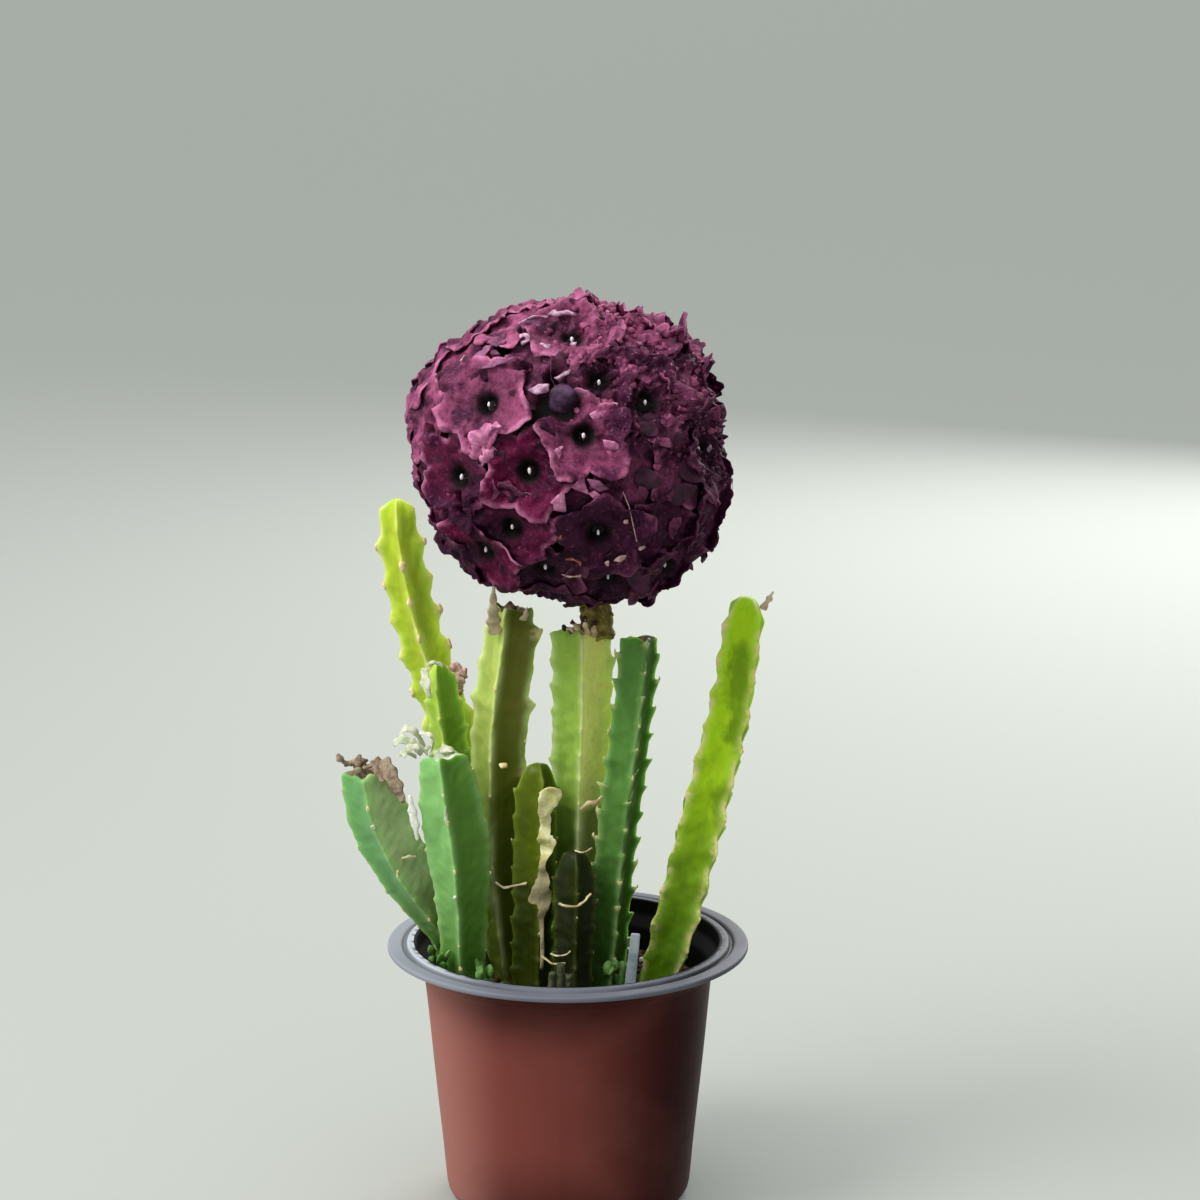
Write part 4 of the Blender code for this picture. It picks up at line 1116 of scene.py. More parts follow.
            rings = rings - towards * dish[..., None]
            points = np.concatenate([rings.reshape(-1, 3), [rings[-1].mean(axis=0)]])
            draft.add(points, [grid_faces(12, columns), fan_faces(11 * columns, columns, 12 * columns)], 1)
        inner = PALE_TISSUE if stem.skin is TEAL else WITHERED
        draft.piece(stem.name + "_skin", [stem.skin.material(), inner.material()], stem.skin.slot, stem.name)

    @staticmethod
    def tan_edge(stem: Stem) -> float:
        """How dry and tan the ridges of a stem are between its teeth."""
        return 0.7 if stem.skin is LIME_RIGHT else 0.0

    def note_teeth(self, stem: Stem, distance: np.ndarray, points: np.ndarray, rise: np.ndarray,
                   direction: np.ndarray, outward: np.ndarray, row: float, end: float) -> None:
        """Keep the place of every tooth's dry tip, on the skin itself.

        Args:
            stem: Which stem.
            distance: Length along the stem at each row of its skin.
            points: The skin, row by row.
            rise: How far teeth stand out at each point.
            direction: The way the stem points at each row.
            outward: The way out at each point.
            row: Length between the teeth of one ridge and those of the next.
            end: Length at which the teeth stop.
        """
        for ridge in range(self.ridges):
            column = ridge * self.columns // self.ridges
            for at in np.arange((ridge + 1) % 2, end / row, 2) * row:
                if at <= self.foot_length:
                    continue
                k = int(np.searchsorted(distance, at))
                k = max((k - 1, k), key=lambda near: rise[near, column])
                self.teeth.append(Tooth(points[k, column] - outward[k, column] * 0.00015, outward[k, column],
                                        direction[k], stem.areole, stem.hooked, ridge == 0))

    def build_tooth_tips(self, draws: np.random.Generator) -> None:
        """The dry oval scar on most teeth, drawn out to a scale or a fleshy hook on some."""
        draft = Draft()
        for number, tooth in enumerate(self.teeth):
            if draws.uniform() < 0.42:
                continue
            around = np.cross(tooth.outward, tooth.along)
            wide = tooth.areole * draws.uniform(0.7, 1.3)
            axes = np.stack([around, tooth.along, tooth.outward], axis=1)
            lump(draft, tooth.place - tooth.outward * wide * 0.4, (wide * 0.8, wide * 1.5, wide * 0.6), number, 2, 0.25,
                 frame_of=axes)
            hook = tooth.hooked and tooth.at_front
            if hook or draws.uniform() < (0.35 if tooth.hooked else 0.05):
                length = draws.uniform(0.0020, 0.0034) if hook else draws.uniform(0.0006, 0.0012)
                lean = unit(tooth.outward * 0.7 + tooth.along * draws.uniform(0.5, 1.3) + draws.normal(size=3) * 0.15)
                steps = np.array([0.0, 0.35, 0.7, 1.0])
                path = tooth.place - tooth.outward * 0.0006 + lean * (steps * length)[:, None]
                path = path + tooth.along * (steps**2 * length * 0.4)[:, None]
                radii = np.array([0.60, 0.46, 0.28, 0.06]) * draws.uniform(0.0008, 0.0011)
                shaft(draft, path, radii, radii * 0.7, around, 7, 1 if hook else 0)
        draft.piece("tooth_tips", [DRY_SCALE.material(), YOUNG_GREEN.material()], "husk")

    def build(self) -> None:
        """Every stem and what clings to it."""
        draws = np.random.default_rng(self.seed)
        for stem in STEMS:
            self.build_stem(stem, draws)
        self.build_tooth_tips(draws)


@dataclass
class FlowerStalk:
    """The short yellow-brown stalk under the head, with the dry stubs of old flowers beside it."""

    start: tuple[float, float, float] = (0.0086, 0.0012, 0.1588)
    end: tuple[float, float, float] = (0.0066, 0.0010, 0.1790)
    radius: float = 0.0044
    end_radius: float = 0.0032

    def build(self) -> None:
        """The stalk and its stubs."""
        start, end = np.array(self.start), np.array(self.end)
        share = np.linspace(0, 1, 40)
        path = start + (end - start) * share[:, None]
        radii = self.radius + (self.end_radius - self.radius) * share
        radii = radii * (1 + 0.07 * np.sin(share * 34) + 0.10 * np.exp(-((share - 0.32) / 0.08) ** 2))
        draft = Draft()
        shaft(draft, path, radii, radii * 0.92, (1, 0, 0), 28)
        points = draft.points[0]
        points += unit(points - points.mean(axis=0)) * (0.00035 * ripple(points, 0.0032, 71))[:, None]
        draws = np.random.default_rng(3)
        for k in range(16):
            turn = draws.uniform(0, 2 * math.pi)
            at = start + (end - start) * draws.uniform(0.22, 0.6)
            out = np.array([math.cos(turn), math.sin(turn), 0.0])
            lump(draft, at + out * self.radius * 0.85, draws.uniform(0.0006, 0.0013, 3), k, 2, 0.25)
        draft.piece("flower_stalk", [STALK_FLESH.material()], "mid_green_stem")


@dataclass(frozen=True)
class Bloom:
    """A floret that shows its throat at the front.

    Angles are in degrees. Its first lobe points to the right at a heading of 0 and up at 90. The tint runs from
    mauve at 0 to magenta at 1, and the dusk, which is painted shade, from fully lit at 0 to plum at 1. Those of a low
    order lie on top.
    """

    azimuth: float
    elevation: float
    heading: float
    tint: float
    dusk: float
    order: int


@dataclass(frozen=True)
class FloretDraw:
    """Where one floret is, and how it differs from the others."""

    direction: np.ndarray
    sink: float
    open: bool
    tint: float
    dusk: float
    proud: bool
    axes: np.ndarray
    rim: np.ndarray


@dataclass
class FlowerHead:
    """The ball of florets: broad velvety five-lobed corollas that overlap over a dark core."""

    centre: tuple[float, float, float] = (0.0005, 0.0, 0.2096)
    radius: float = 0.0473
    flat_share: float = 0.10
    flat_spread: float = 0.30
    flat_towards: tuple[float, float, float] = (-0.42, -0.10, -0.90)
    squareness: float = 0.028
    squat: float = 0.030
    bulges: tuple[tuple[float, float, float], ...] = (
        (160, 13, 0.050), (203, 17, -0.060), (18, 15, -0.045), (62, 12, -0.040), (92, 12, 0.030), (128, 12, -0.030),
    )
    core_depth: float = 0.0080
    florets: int = 76
    lobes: int = 5
    lobe_reach: float = 0.0150
    notch_share: float = 0.70
    pit_depth: float = 0.0030
    pit_reach: float = 0.0026
    bowl_depth: float = 0.0032
    bowl_reach: float = 0.0080
    # Painted shade: the bowls' and under-edge dusk, the near-black shade right under edges, and how far the throat
    # shade and its halo reach.
    bowl_dusk: float = 0.30
    edge_shade: float = 0.0019
    shade_dusk: float = 0.66
    shade_black: float = 0.35
    shadow_reach: float = 0.0070
    throat_reach: float = 0.0036
    notch_drop: float = 0.0007
    rim_lift: float = 0.0010
    thickness: float = 0.0009
    inset: float = 0.0024
    order_step: float = 0.00012
    covered_sink: float = 0.0006
    covered_share: float = 0.35
    clearance: float = 0.0062
    # Gaps between the florets: sunk in and painted near black as shade.
    gap_depth: float = 0.0056
    gaps: tuple[tuple[float, float, float], ...] = (
        (-9, 29, 5.2), (-1, 29, 7.0), (-6, 38, 3.4), (1, 36, 3.0), (-60, 19, 2.9), (-60, 13, 2.9), (-33, 63, 3.6),
        (-44, -9, 2.4), (-43, -14, 2.4), (-21, 42, 2.4),
    )
    floret_sink: float = 0.0009
    sizes: tuple[float, float] = (0.94, 1.08)
    spread_rounds: int = 300
    spread_push: float = 0.002
    spread_ease: int = 60
    spread_limit: float = 0.08
    seed: int = 11
    rows: int = 20
    columns: int = 80
    front: tuple[Bloom, ...] = (
        Bloom(-34, 27, -12, 0.20, 0.18, 1), Bloom(6, 17, 97, 0.30, 0.12, 0), Bloom(-14, 4, 0, 1.00, 0.30, 2),
        Bloom(-44, -1, 65, 0.75, 0.42, 3), Bloom(15, 38, 90, 0.10, 0.62, 4), Bloom(-22, -18, 6, 0.80, 0.42, 4),
        Bloom(-38, -30, 150, 0.90, 0.12, 3), Bloom(-11, -38, 100, 0.60, 0.80, 5), Bloom(12, -20, 90, 0.55, 0.88, 5),
        Bloom(34, 28, 60, 0.10, 0.60, 5), Bloom(22, -45, 20, 0.60, 0.95, 6), Bloom(63, 7, 40, 0.30, 0.85, 4),
        Bloom(3, 60, 80, 0.00, 0.10, 3),
    )
    crumpled_towards: tuple[float, float, float] = (0.66, -0.28, 0.70)

    @staticmethod
    def facing(azimuth: float, elevation: float) -> np.ndarray:
        """A direction from its azimuth, from -Y towards +X, and its elevation, both in degrees."""
        a, e = math.radians(azimuth), math.radians(elevation)
        return np.array([math.sin(a) * math.cos(e), -math.cos(a) * math.cos(e), math.sin(e)])

    def radius_towards(self, towards: np.ndarray) -> np.ndarray:
        """The head's radius in each direction: a ball a little square and squat, flat at its lower left."""
        angle = np.arctan2(towards[..., 2], towards[..., 0])
        square = -np.cos(4 * angle) * self.squareness * (1 - towards[..., 1] ** 2)
        away = np.arccos(np.clip(towards @ unit(np.array(self.flat_towards)), -1, 1))
        flat = self.flat_share * np.exp(-(away**2) / (2 * self.flat_spread**2))
        bulge = 0.0
        for heading, spread, share in self.bulges:
            off = (np.degrees(angle) - heading + 180) % 360 - 180
            bulge = bulge + share * np.exp(-((off / spread) ** 2)) * (1 - towards[..., 1] ** 2) ** 2
        return self.radius * (1 + square - flat + bulge - self.squat * towards[..., 2] ** 2)

    def at(self, towards: np.ndarray, depth: np.ndarray | float = 0.0) -> np.ndarray:
        """Points that lie a depth below the head's outside."""
        return np.array(self.centre) + towards * (self.radius_towards(towards) - depth)[..., None]

    def draw_florets(self) -> list[FloretDraw]:
        """Directions of all florets, the front ones as listed and the rest pushed apart, with their chances."""
        fixed = [self.facing(bloom.azimuth, bloom.elevation) for bloom in self.front]
        draws = np.random.default_rng(self.seed)
        places = unit(np.vstack([np.array(fixed), draws.normal(size=(self.florets - len(fixed), 3))]))
        for step in range(self.spread_rounds):
            apart = places[:, None] - places[None]
            distance = np.linalg.norm(apart, axis=2) + np.eye(len(places))
            push = (apart / distance[..., None] ** 4).sum(axis=1) * self.spread_push / (1 + step / self.spread_ease)
            push[: len(fixed)] = 0.0
            places = unit(places + np.clip(push, -self.spread_limit, self.spread_limit))
        fixed_count = len(fixed)
        shown = [k < fixed_count or place @ unit(np.array([0.0, -1.0, 0.25])) < 0.30 for k, place in enumerate(places)]
        found = []
        for number, place in enumerate(places):
            spin = draws.uniform(0, 2 * math.pi)
            sink = self.inset + draws.uniform(0.0, self.floret_sink)
            size = draws.uniform(*self.sizes)
            chance = np.random.default_rng(5000 + number).normal(size=2)
            low = float(smooth(place[2], 0.35, -0.5))
            # Painted shade: florets facing away from the light above, left and in front take more dusk.
            lit = float(smooth(place @ unit(np.array([-0.35, -0.3, 0.9])), -0.45, 0.75))
            tint = float(np.clip(0.15 + 0.8 * low + 0.15 * chance[0], 0, 1))
            dusk = float(np.clip(1.05 - 1.05 * lit + 0.10 * chance[1], 0, 1))
            if number < fixed_count:
                own = self.front[number]
                spin, size, tint, dusk = math.radians(own.heading), size * 1.05, own.tint, own.dusk
                sink = self.inset + own.order * self.order_step
            elif not shown[number]:
                sink += self.covered_sink
                size *= 0.94
            axes = turned_axes(place, spin)
            rim = self.outline(number, size, places[np.array(shown) & (np.arange(len(places)) != number)], axes)
            found.append(FloretDraw(place, sink, bool(shown[number]), tint, dusk, number < fixed_count, axes, rim))
        return found

    def outline(self, number: int, size: float, throats: np.ndarray, axes: np.ndarray) -> np.ndarray:
        """How far a floret reaches at each angle: five pointed lobes, shorter where they would cover a throat.

        Args:
            number: The floret's number.
            size: Its size, about 1.
            throats: Directions of the throats of other florets.
            axes: The floret's axes.

        Returns:
            The reach along the head's surface, one for each column of its mesh.
        """
        draws = np.random.default_rng(1000 + number)
        part = 2 * math.pi / self.lobes
        theta = 2 * math.pi * np.arange(self.columns) / self.columns
        across = np.abs((theta - np.round(theta / part) * part) / (part / 2))
        lobe = np.round(theta / part).astype(int) % self.lobes
        tips = self.lobe_reach * size * draws.uniform(0.92, 1.08, self.lobes)
        notch = self.lobe_reach * size * self.notch_share
        rim = notch + (tips[lobe] - notch) * (1 - across ** draws.uniform(0.95, 1.3))
        local = throats @ axes
        for x, y, z in local:
            apart = math.acos(min(1.0, z)) * self.radius
            if apart < 2 * self.lobe_reach:
                aligned = np.cos(theta - math.atan2(y, x))
                rim = np.where(aligned > 0.72, np.minimum(rim, (apart - self.clearance) / np.maximum(aligned, 0.72)), rim)
        return rim * (1 + 0.02 * np.sin(theta * 11 + number) + 0.015 * np.sin(theta * 23 + 2 * number))

    def crumpled(self, towards: np.ndarray) -> np.ndarray:
        """How crumpled and old the florets are in each direction, from 0 to 1."""
        return smooth(towards @ unit(np.array(self.crumpled_towards)), 0.42, 0.90)

    def hollow(self, towards: np.ndarray) -> np.ndarray:
        """How far each direction lies inside one of the gaps between the florets, which are painted near black as
        shade, from 0 to 1.
        """
        inside = np.zeros(towards.shape[:-1])
        for azimuth, elevation, width in self.gaps:
            away = np.degrees(np.arccos(np.clip(towards @ self.facing(azimuth, elevation), -1, 1)))
            inside = np.maximum(inside, 1 - smooth(away, width * 0.6, width * 1.35))
        return inside

    def overlap(self, own: FloretDraw, towards: np.ndarray, others: list[FloretDraw]) -> tuple[np.ndarray, np.ndarray]:
        """How the florets that a floret meets push it, out over them or in under them, and shade it.

        Args:
            own: The floret.
            towards: Directions of its points.
            others: All florets.

        Returns:
            The push at each point, outwards where positive, and how far each lies in the shade of an edge above it.
        """
        push = np.zeros(towards.shape[:-1])
        shade = np.zeros(towards.shape[:-1])
        own_near = towards @ own.direction
        for other in others:
            if other is own or own.direction @ other.direction < 0.7:
                continue
            past = (towards @ other.direction - own_near) / np.linalg.norm(other.direction - own.direction)
            amount = smooth(past * self.radius, -0.0012, 0.0016)
            above = own.sink < other.sink
            push += amount * ((0.0011 if own.proud else 0.0006) if above else -0.0010)
            if above:
                continue
            local = towards @ other.axes
            turn = np.arctan2(local[..., 1], local[..., 0]) % (2 * math.pi)
            edge = np.interp(turn, np.linspace(0, 2 * math.pi, self.columns + 1), np.append(other.rim, other.rim[0]))
            beyond = np.arccos(np.clip(local[..., 2], -1, 1)) * self.radius - edge
            shade = np.maximum(shade, np.exp(-((np.maximum(beyond, 0.0) / self.edge_shade) ** 2)))
        return np.clip(push, -0.0018, 0.0014), shade

    def build_floret(self, draft: Draft, own: FloretDraw, others: list[FloretDraw], number: int) -> None:
        """One corolla, as a closed fleshy star with a deep throat.

        Args:
            draft: Where it goes.
            own: The floret.
            others: All florets.
            number: Its number, which picks its creases.
        """
        draws = np.random.default_rng(3000 + number)
        old = float(self.crumpled(own.direction))
        rightness = float(smooth(own.direction[0], 0.25, 0.9))
        part = 2 * math.pi / self.lobes
        theta = 2 * math.pi * np.arange(self.columns) / self.columns
        lobe = np.round(theta / part).astype(int) % self.lobes
        across = np.abs((theta - np.round(theta / part) * part) / (part / 2))
        curl = draws.normal(0.50 * rightness - 0.04, 0.12 + 0.3 * old + 0.1 * rightness, self.lobes)
        share = (np.arange(1, self.rows + 1) / self.rows) ** 0.92
        arc = share[:, None] * own.rim
        start = 0.62 * own.rim
        over = np.maximum(arc - start, 0.0)
        rate = curl[lobe] * (1 - across**2) / (own.rim - start)
        rate = np.where(np.abs(rate) < 1.0, 1.0, rate)
        reach = np.minimum(arc, start) + np.sin(rate * over) / rate
        rise = (1 - np.cos(rate * over)) / rate
        bend = reach / self.radius
        local = np.stack([np.sin(bend) * np.cos(theta), np.sin(bend) * np.sin(theta), np.cos(bend)], axis=-1)
        towards = local @ own.axes.T
        dip, dark = self.terrain(towards, others)
        push, shade = self.overlap(own, towards, others)
        outer = smooth(share, 0.4, 0.8)[:, None]
        away = smooth(share, 0.10, 0.45)[:, None]
        fold = self.notch_drop * across**2 * share[:, None] ** 1.5
        lift = self.rim_lift * (0.5 + 0.5 * max(rightness, own.proud)) * smooth(share, 0.65, 1.0)[:, None]
        flat = self.at(towards)
        creases = 0.00070 * ripple(flat, 0.0080, 40 + number) + 0.00042 * ripple(flat, 0.0034, 140 + number)
        crumple = (0.0012 * ripple(flat, 0.0047, 240) + 0.0007 * ripple(flat, 0.0024, 241)) * self.crumpled(towards)
        height = (rise + lift - own.sink - dip - fold + (creases + crumple) * away
                  + push * outer * (0.65 + 0.35 * max(rightness, own.proud)))
        gap = self.hollow(towards)
        upper = self.at(towards, self.gap_depth * gap - height)
        # Painted shade: plum dusk in the bowls and under the edges of florets that lie on top, and near black in the
        # gaps, the throats and right under those edges.
        sunken = np.clip(dip / self.bowl_depth, 0, 1) * self.bowl_dusk + shade * self.shade_dusk
        dark = np.maximum(gap, dark + self.shade_black * shade)
        self.close_floret(draft, own, upper, share, np.minimum(dark, 1.0), sunken, others)

    def terrain(self, towards: np.ndarray, others: list[FloretDraw]) -> tuple[np.ndarray, np.ndarray]:
        """The bowls and throats that all florets share.

        Args:
            towards: Directions of the points.
            others: All florets.

        Returns:
            How deep each point dips, and how much near-black painted shade it takes in and around the throats.
        """
        centres = np.array([other.direction for other in others])
        arcs = np.arccos(np.clip(towards @ centres.T, -1, 1)) * self.radius
        shown = np.array([1.0 if other.open else 0.0 for other in others])
        bowls = self.bowl_depth * (self.covered_share + (1 - self.covered_share) * shown)
        dips = bowls * np.exp(-((arcs / self.bowl_reach) ** 2))
        dips = dips + shown * self.pit_depth * np.exp(-((arcs / self.pit_reach) ** 2))
        # Painted shade: near black in the throats, with a dark halo around them.
        dark = (0.55 * np.exp(-((arcs / self.shadow_reach) ** 2)) + np.exp(-((arcs / self.throat_reach) ** 4))) * shown
        return dips.sum(axis=-1), np.minimum(dark.max(axis=-1), 1.0)

    def throat_depth(self, own: FloretDraw, others: list[FloretDraw]) -> float:
        """How deep the middle of a floret lies."""
        return own.sink + float(self.terrain(own.direction, others)[0])

    def close_floret(self, draft: Draft, own: FloretDraw, upper: np.ndarray, share: np.ndarray, dark: np.ndarray,
                     sunken: np.ndarray, others: list[FloretDraw]) -> None:
        """Give a corolla its thickness, rounded edge and root, and paint it.

        Args:
            draft: Where it goes.
            own: The floret.
            upper: Its upper side, row by row from the throat to the edge.
            share: Share of the way to the edge at each row.
            dark: How much near-black painted shade each point takes, in a gap, a throat or right under an edge above
                it.
            sunken: How much plum painted shade each point takes from its bowl and from the edges above it, from 0 to 1.
            others: All florets.
        """
        columns = self.columns
        around = np.roll(upper, -1, axis=1) - np.roll(upper, 1, axis=1)
        outwards = np.gradient(upper, axis=0)
        normal = unit(np.cross(outwards, around))
        thick = self.thickness * (1 - 0.45 * share**2)[:, None, None]
        lower_rows = [self.rows - 1, self.rows - 3, self.rows - 7, 7]
        edge = unit(outwards[-1]) * self.thickness * 0.30
        rim = upper[-1] - normal[-1] * thick[-1] * 0.5 + edge
        lower = np.stack([upper[k] - normal[k] * thick[k] for k in lower_rows])
        throat = self.at(own.direction, self.throat_depth(own, others) + self.gap_depth * self.hollow(own.direction))
        root = self.at(own.direction, 0.0115)
        points = np.concatenate([upper.reshape(-1, 3), rim, lower.reshape(-1, 3), [throat, root]])
        rows = self.rows + 1 + len(lower_rows)
        faces = [grid_faces(rows, columns, flip=True), fan_faces(0, columns, rows * columns),
                 fan_faces((rows - 1) * columns, columns, rows * columns + 1, flip=True)]
        # The pale edge: partly its own colour and partly a painted highlight, a little of it on the underside.
        pale = smooth(share, 0.84, 1.0)[:, None] * np.ones(columns)
        under = columns * (1 + len(lower_rows))
        edge_paint = np.concatenate([pale.reshape(-1), np.ones(columns), np.full(under - columns, 0.35), [0.0, 0.0]])
        # Painted shade, near black, at the throat point of an open floret and at the root; the floret's own dusk with
        # the bowl and edge shade added.
        end = 1.0 if own.open else 0.0
        dark_paint = np.concatenate([dark.reshape(-1), np.zeros(under), [end, 1.0]])
        dusk = np.concatenate([own.dusk + sunken.reshape(-1), np.full(under + 2, own.dusk)])
        towards = unit(points - np.array(self.centre))
        draft.add(points, faces, tint=own.tint, dusk=np.clip(dusk, 0, 1), edge=edge_paint, throat=dark_paint,
                  crumple=self.crumpled(towards))

    def build_florets(self, drawn: list[FloretDraw]) -> None:
        """All corollas, in three pieces from the top of the head down."""
        tiers = {"upper_florets": [], "middle_florets": [], "lower_florets": []}
        for number, own in enumerate(drawn):
            height = own.direction[2]
            name = "upper_florets" if height > 0.33 else "middle_florets" if height > -0.33 else "lower_florets"
            tiers[name].append((number, own))
        flesh = COROLLA.material()
        for name, members in tiers.items():
            draft = Draft("tint", "dusk", "edge", "throat", "crumple")
            for number, own in members:
                self.build_floret(draft, own, drawn, number)
            draft.piece(name, [flesh], "corolla")

    def build_core(self) -> None:
        """The near-black inside that shows in the gaps, as painted shade for them."""
        ball, faces = round_ball(5)
        draft = Draft()
        depth = self.core_depth + 0.0006 * ripple(ball, 0.20, 91)
        draft.add(self.at(ball, depth), [faces])
        draft.piece("head_core", [HEAD_CORE_SHADE.material()], "corolla", "flower_head")

    def build_throats(self, drawn: list[FloretDraw]) -> None:
        """The small dark corona in every throat, and a near-white stigma stretched upright, partly the pale stigma head
        and partly a painted glint.
        """
        coronas, stigma_glints = Draft(), Draft()
        for number, own in enumerate(drawn):
            if not own.open:
                continue
            draws = np.random.default_rng(9000 + number)
            bottom = self.throat_depth(own, drawn)
            middle = self.at(own.direction, bottom)
            for k in range(self.lobes):
                turn = 2 * math.pi * (k + 0.5) / self.lobes
                out = own.axes @ np.array([math.cos(turn), math.sin(turn), 0.0])
                lump(coronas, middle + out * 0.0009 + own.direction * 0.0006, (0.0008, 0.0004, 0.0006), number * 5 + k,
                     1, 0.15, frame_of=np.stack([out, np.cross(own.direction, out), own.direction], axis=1))
            # Painted glint: a near-white lump, taller than wide, raised out of the throat into the light.
            size = draws.uniform(0.00036, 0.00050)
            lump(stigma_glints, middle + own.direction * 0.0025, (size, size, size * 1.8), number, 2, 0.1)
        coronas.piece("coronas", [CORONA.material()], "corolla")
        stigma_glints.piece("stigma_glints", [STIGMA_GLINT.material()], "corolla")

    def build(self) -> None:
        """The whole head."""
        drawn = self.draw_florets()
        self.build_core()
        self.build_florets(drawn)
        self.build_throats(drawn)


@dataclass(frozen=True)
class Lobe:
    """One loose petal lobe: where its foot is, how it is turned along the surface, and its size.

    Angles are in degrees and sizes in metres; a heading of 0 points to the right and one of 90 up.
    """

    azimuth: float
    elevation: float
    heading: float
    length: float
    half: float
    lift: float = 0.25
    rise: float = 0.0
    finish: int = 0


@dataclass(frozen=True)
class Chip:
    """One angular scrap of petal: the place of its middle and its outline as (sideways, up) in millimetres."""

    azimuth: float
    elevation: float
    outline: tuple[tuple[float, float], ...]
    finish: int
    rise: float = 0.0010
    tilt: float = 0.0


@dataclass(frozen=True)
class Speck:
    """One small lump on the head: where it is, half its size sideways, up and outwards, and how far out."""

    azimuth: float
    elevation: float
    size: tuple[float, float, float]
    rise: float = 0.0
    finish: int = 0


class Trim(Enum):
    """Finishes of the loose bits on the head."""

    PINK = 0
    MAUVE = 1
    PALE = 2
    RUST = 3
    DARK = 4
    CREAM = 5


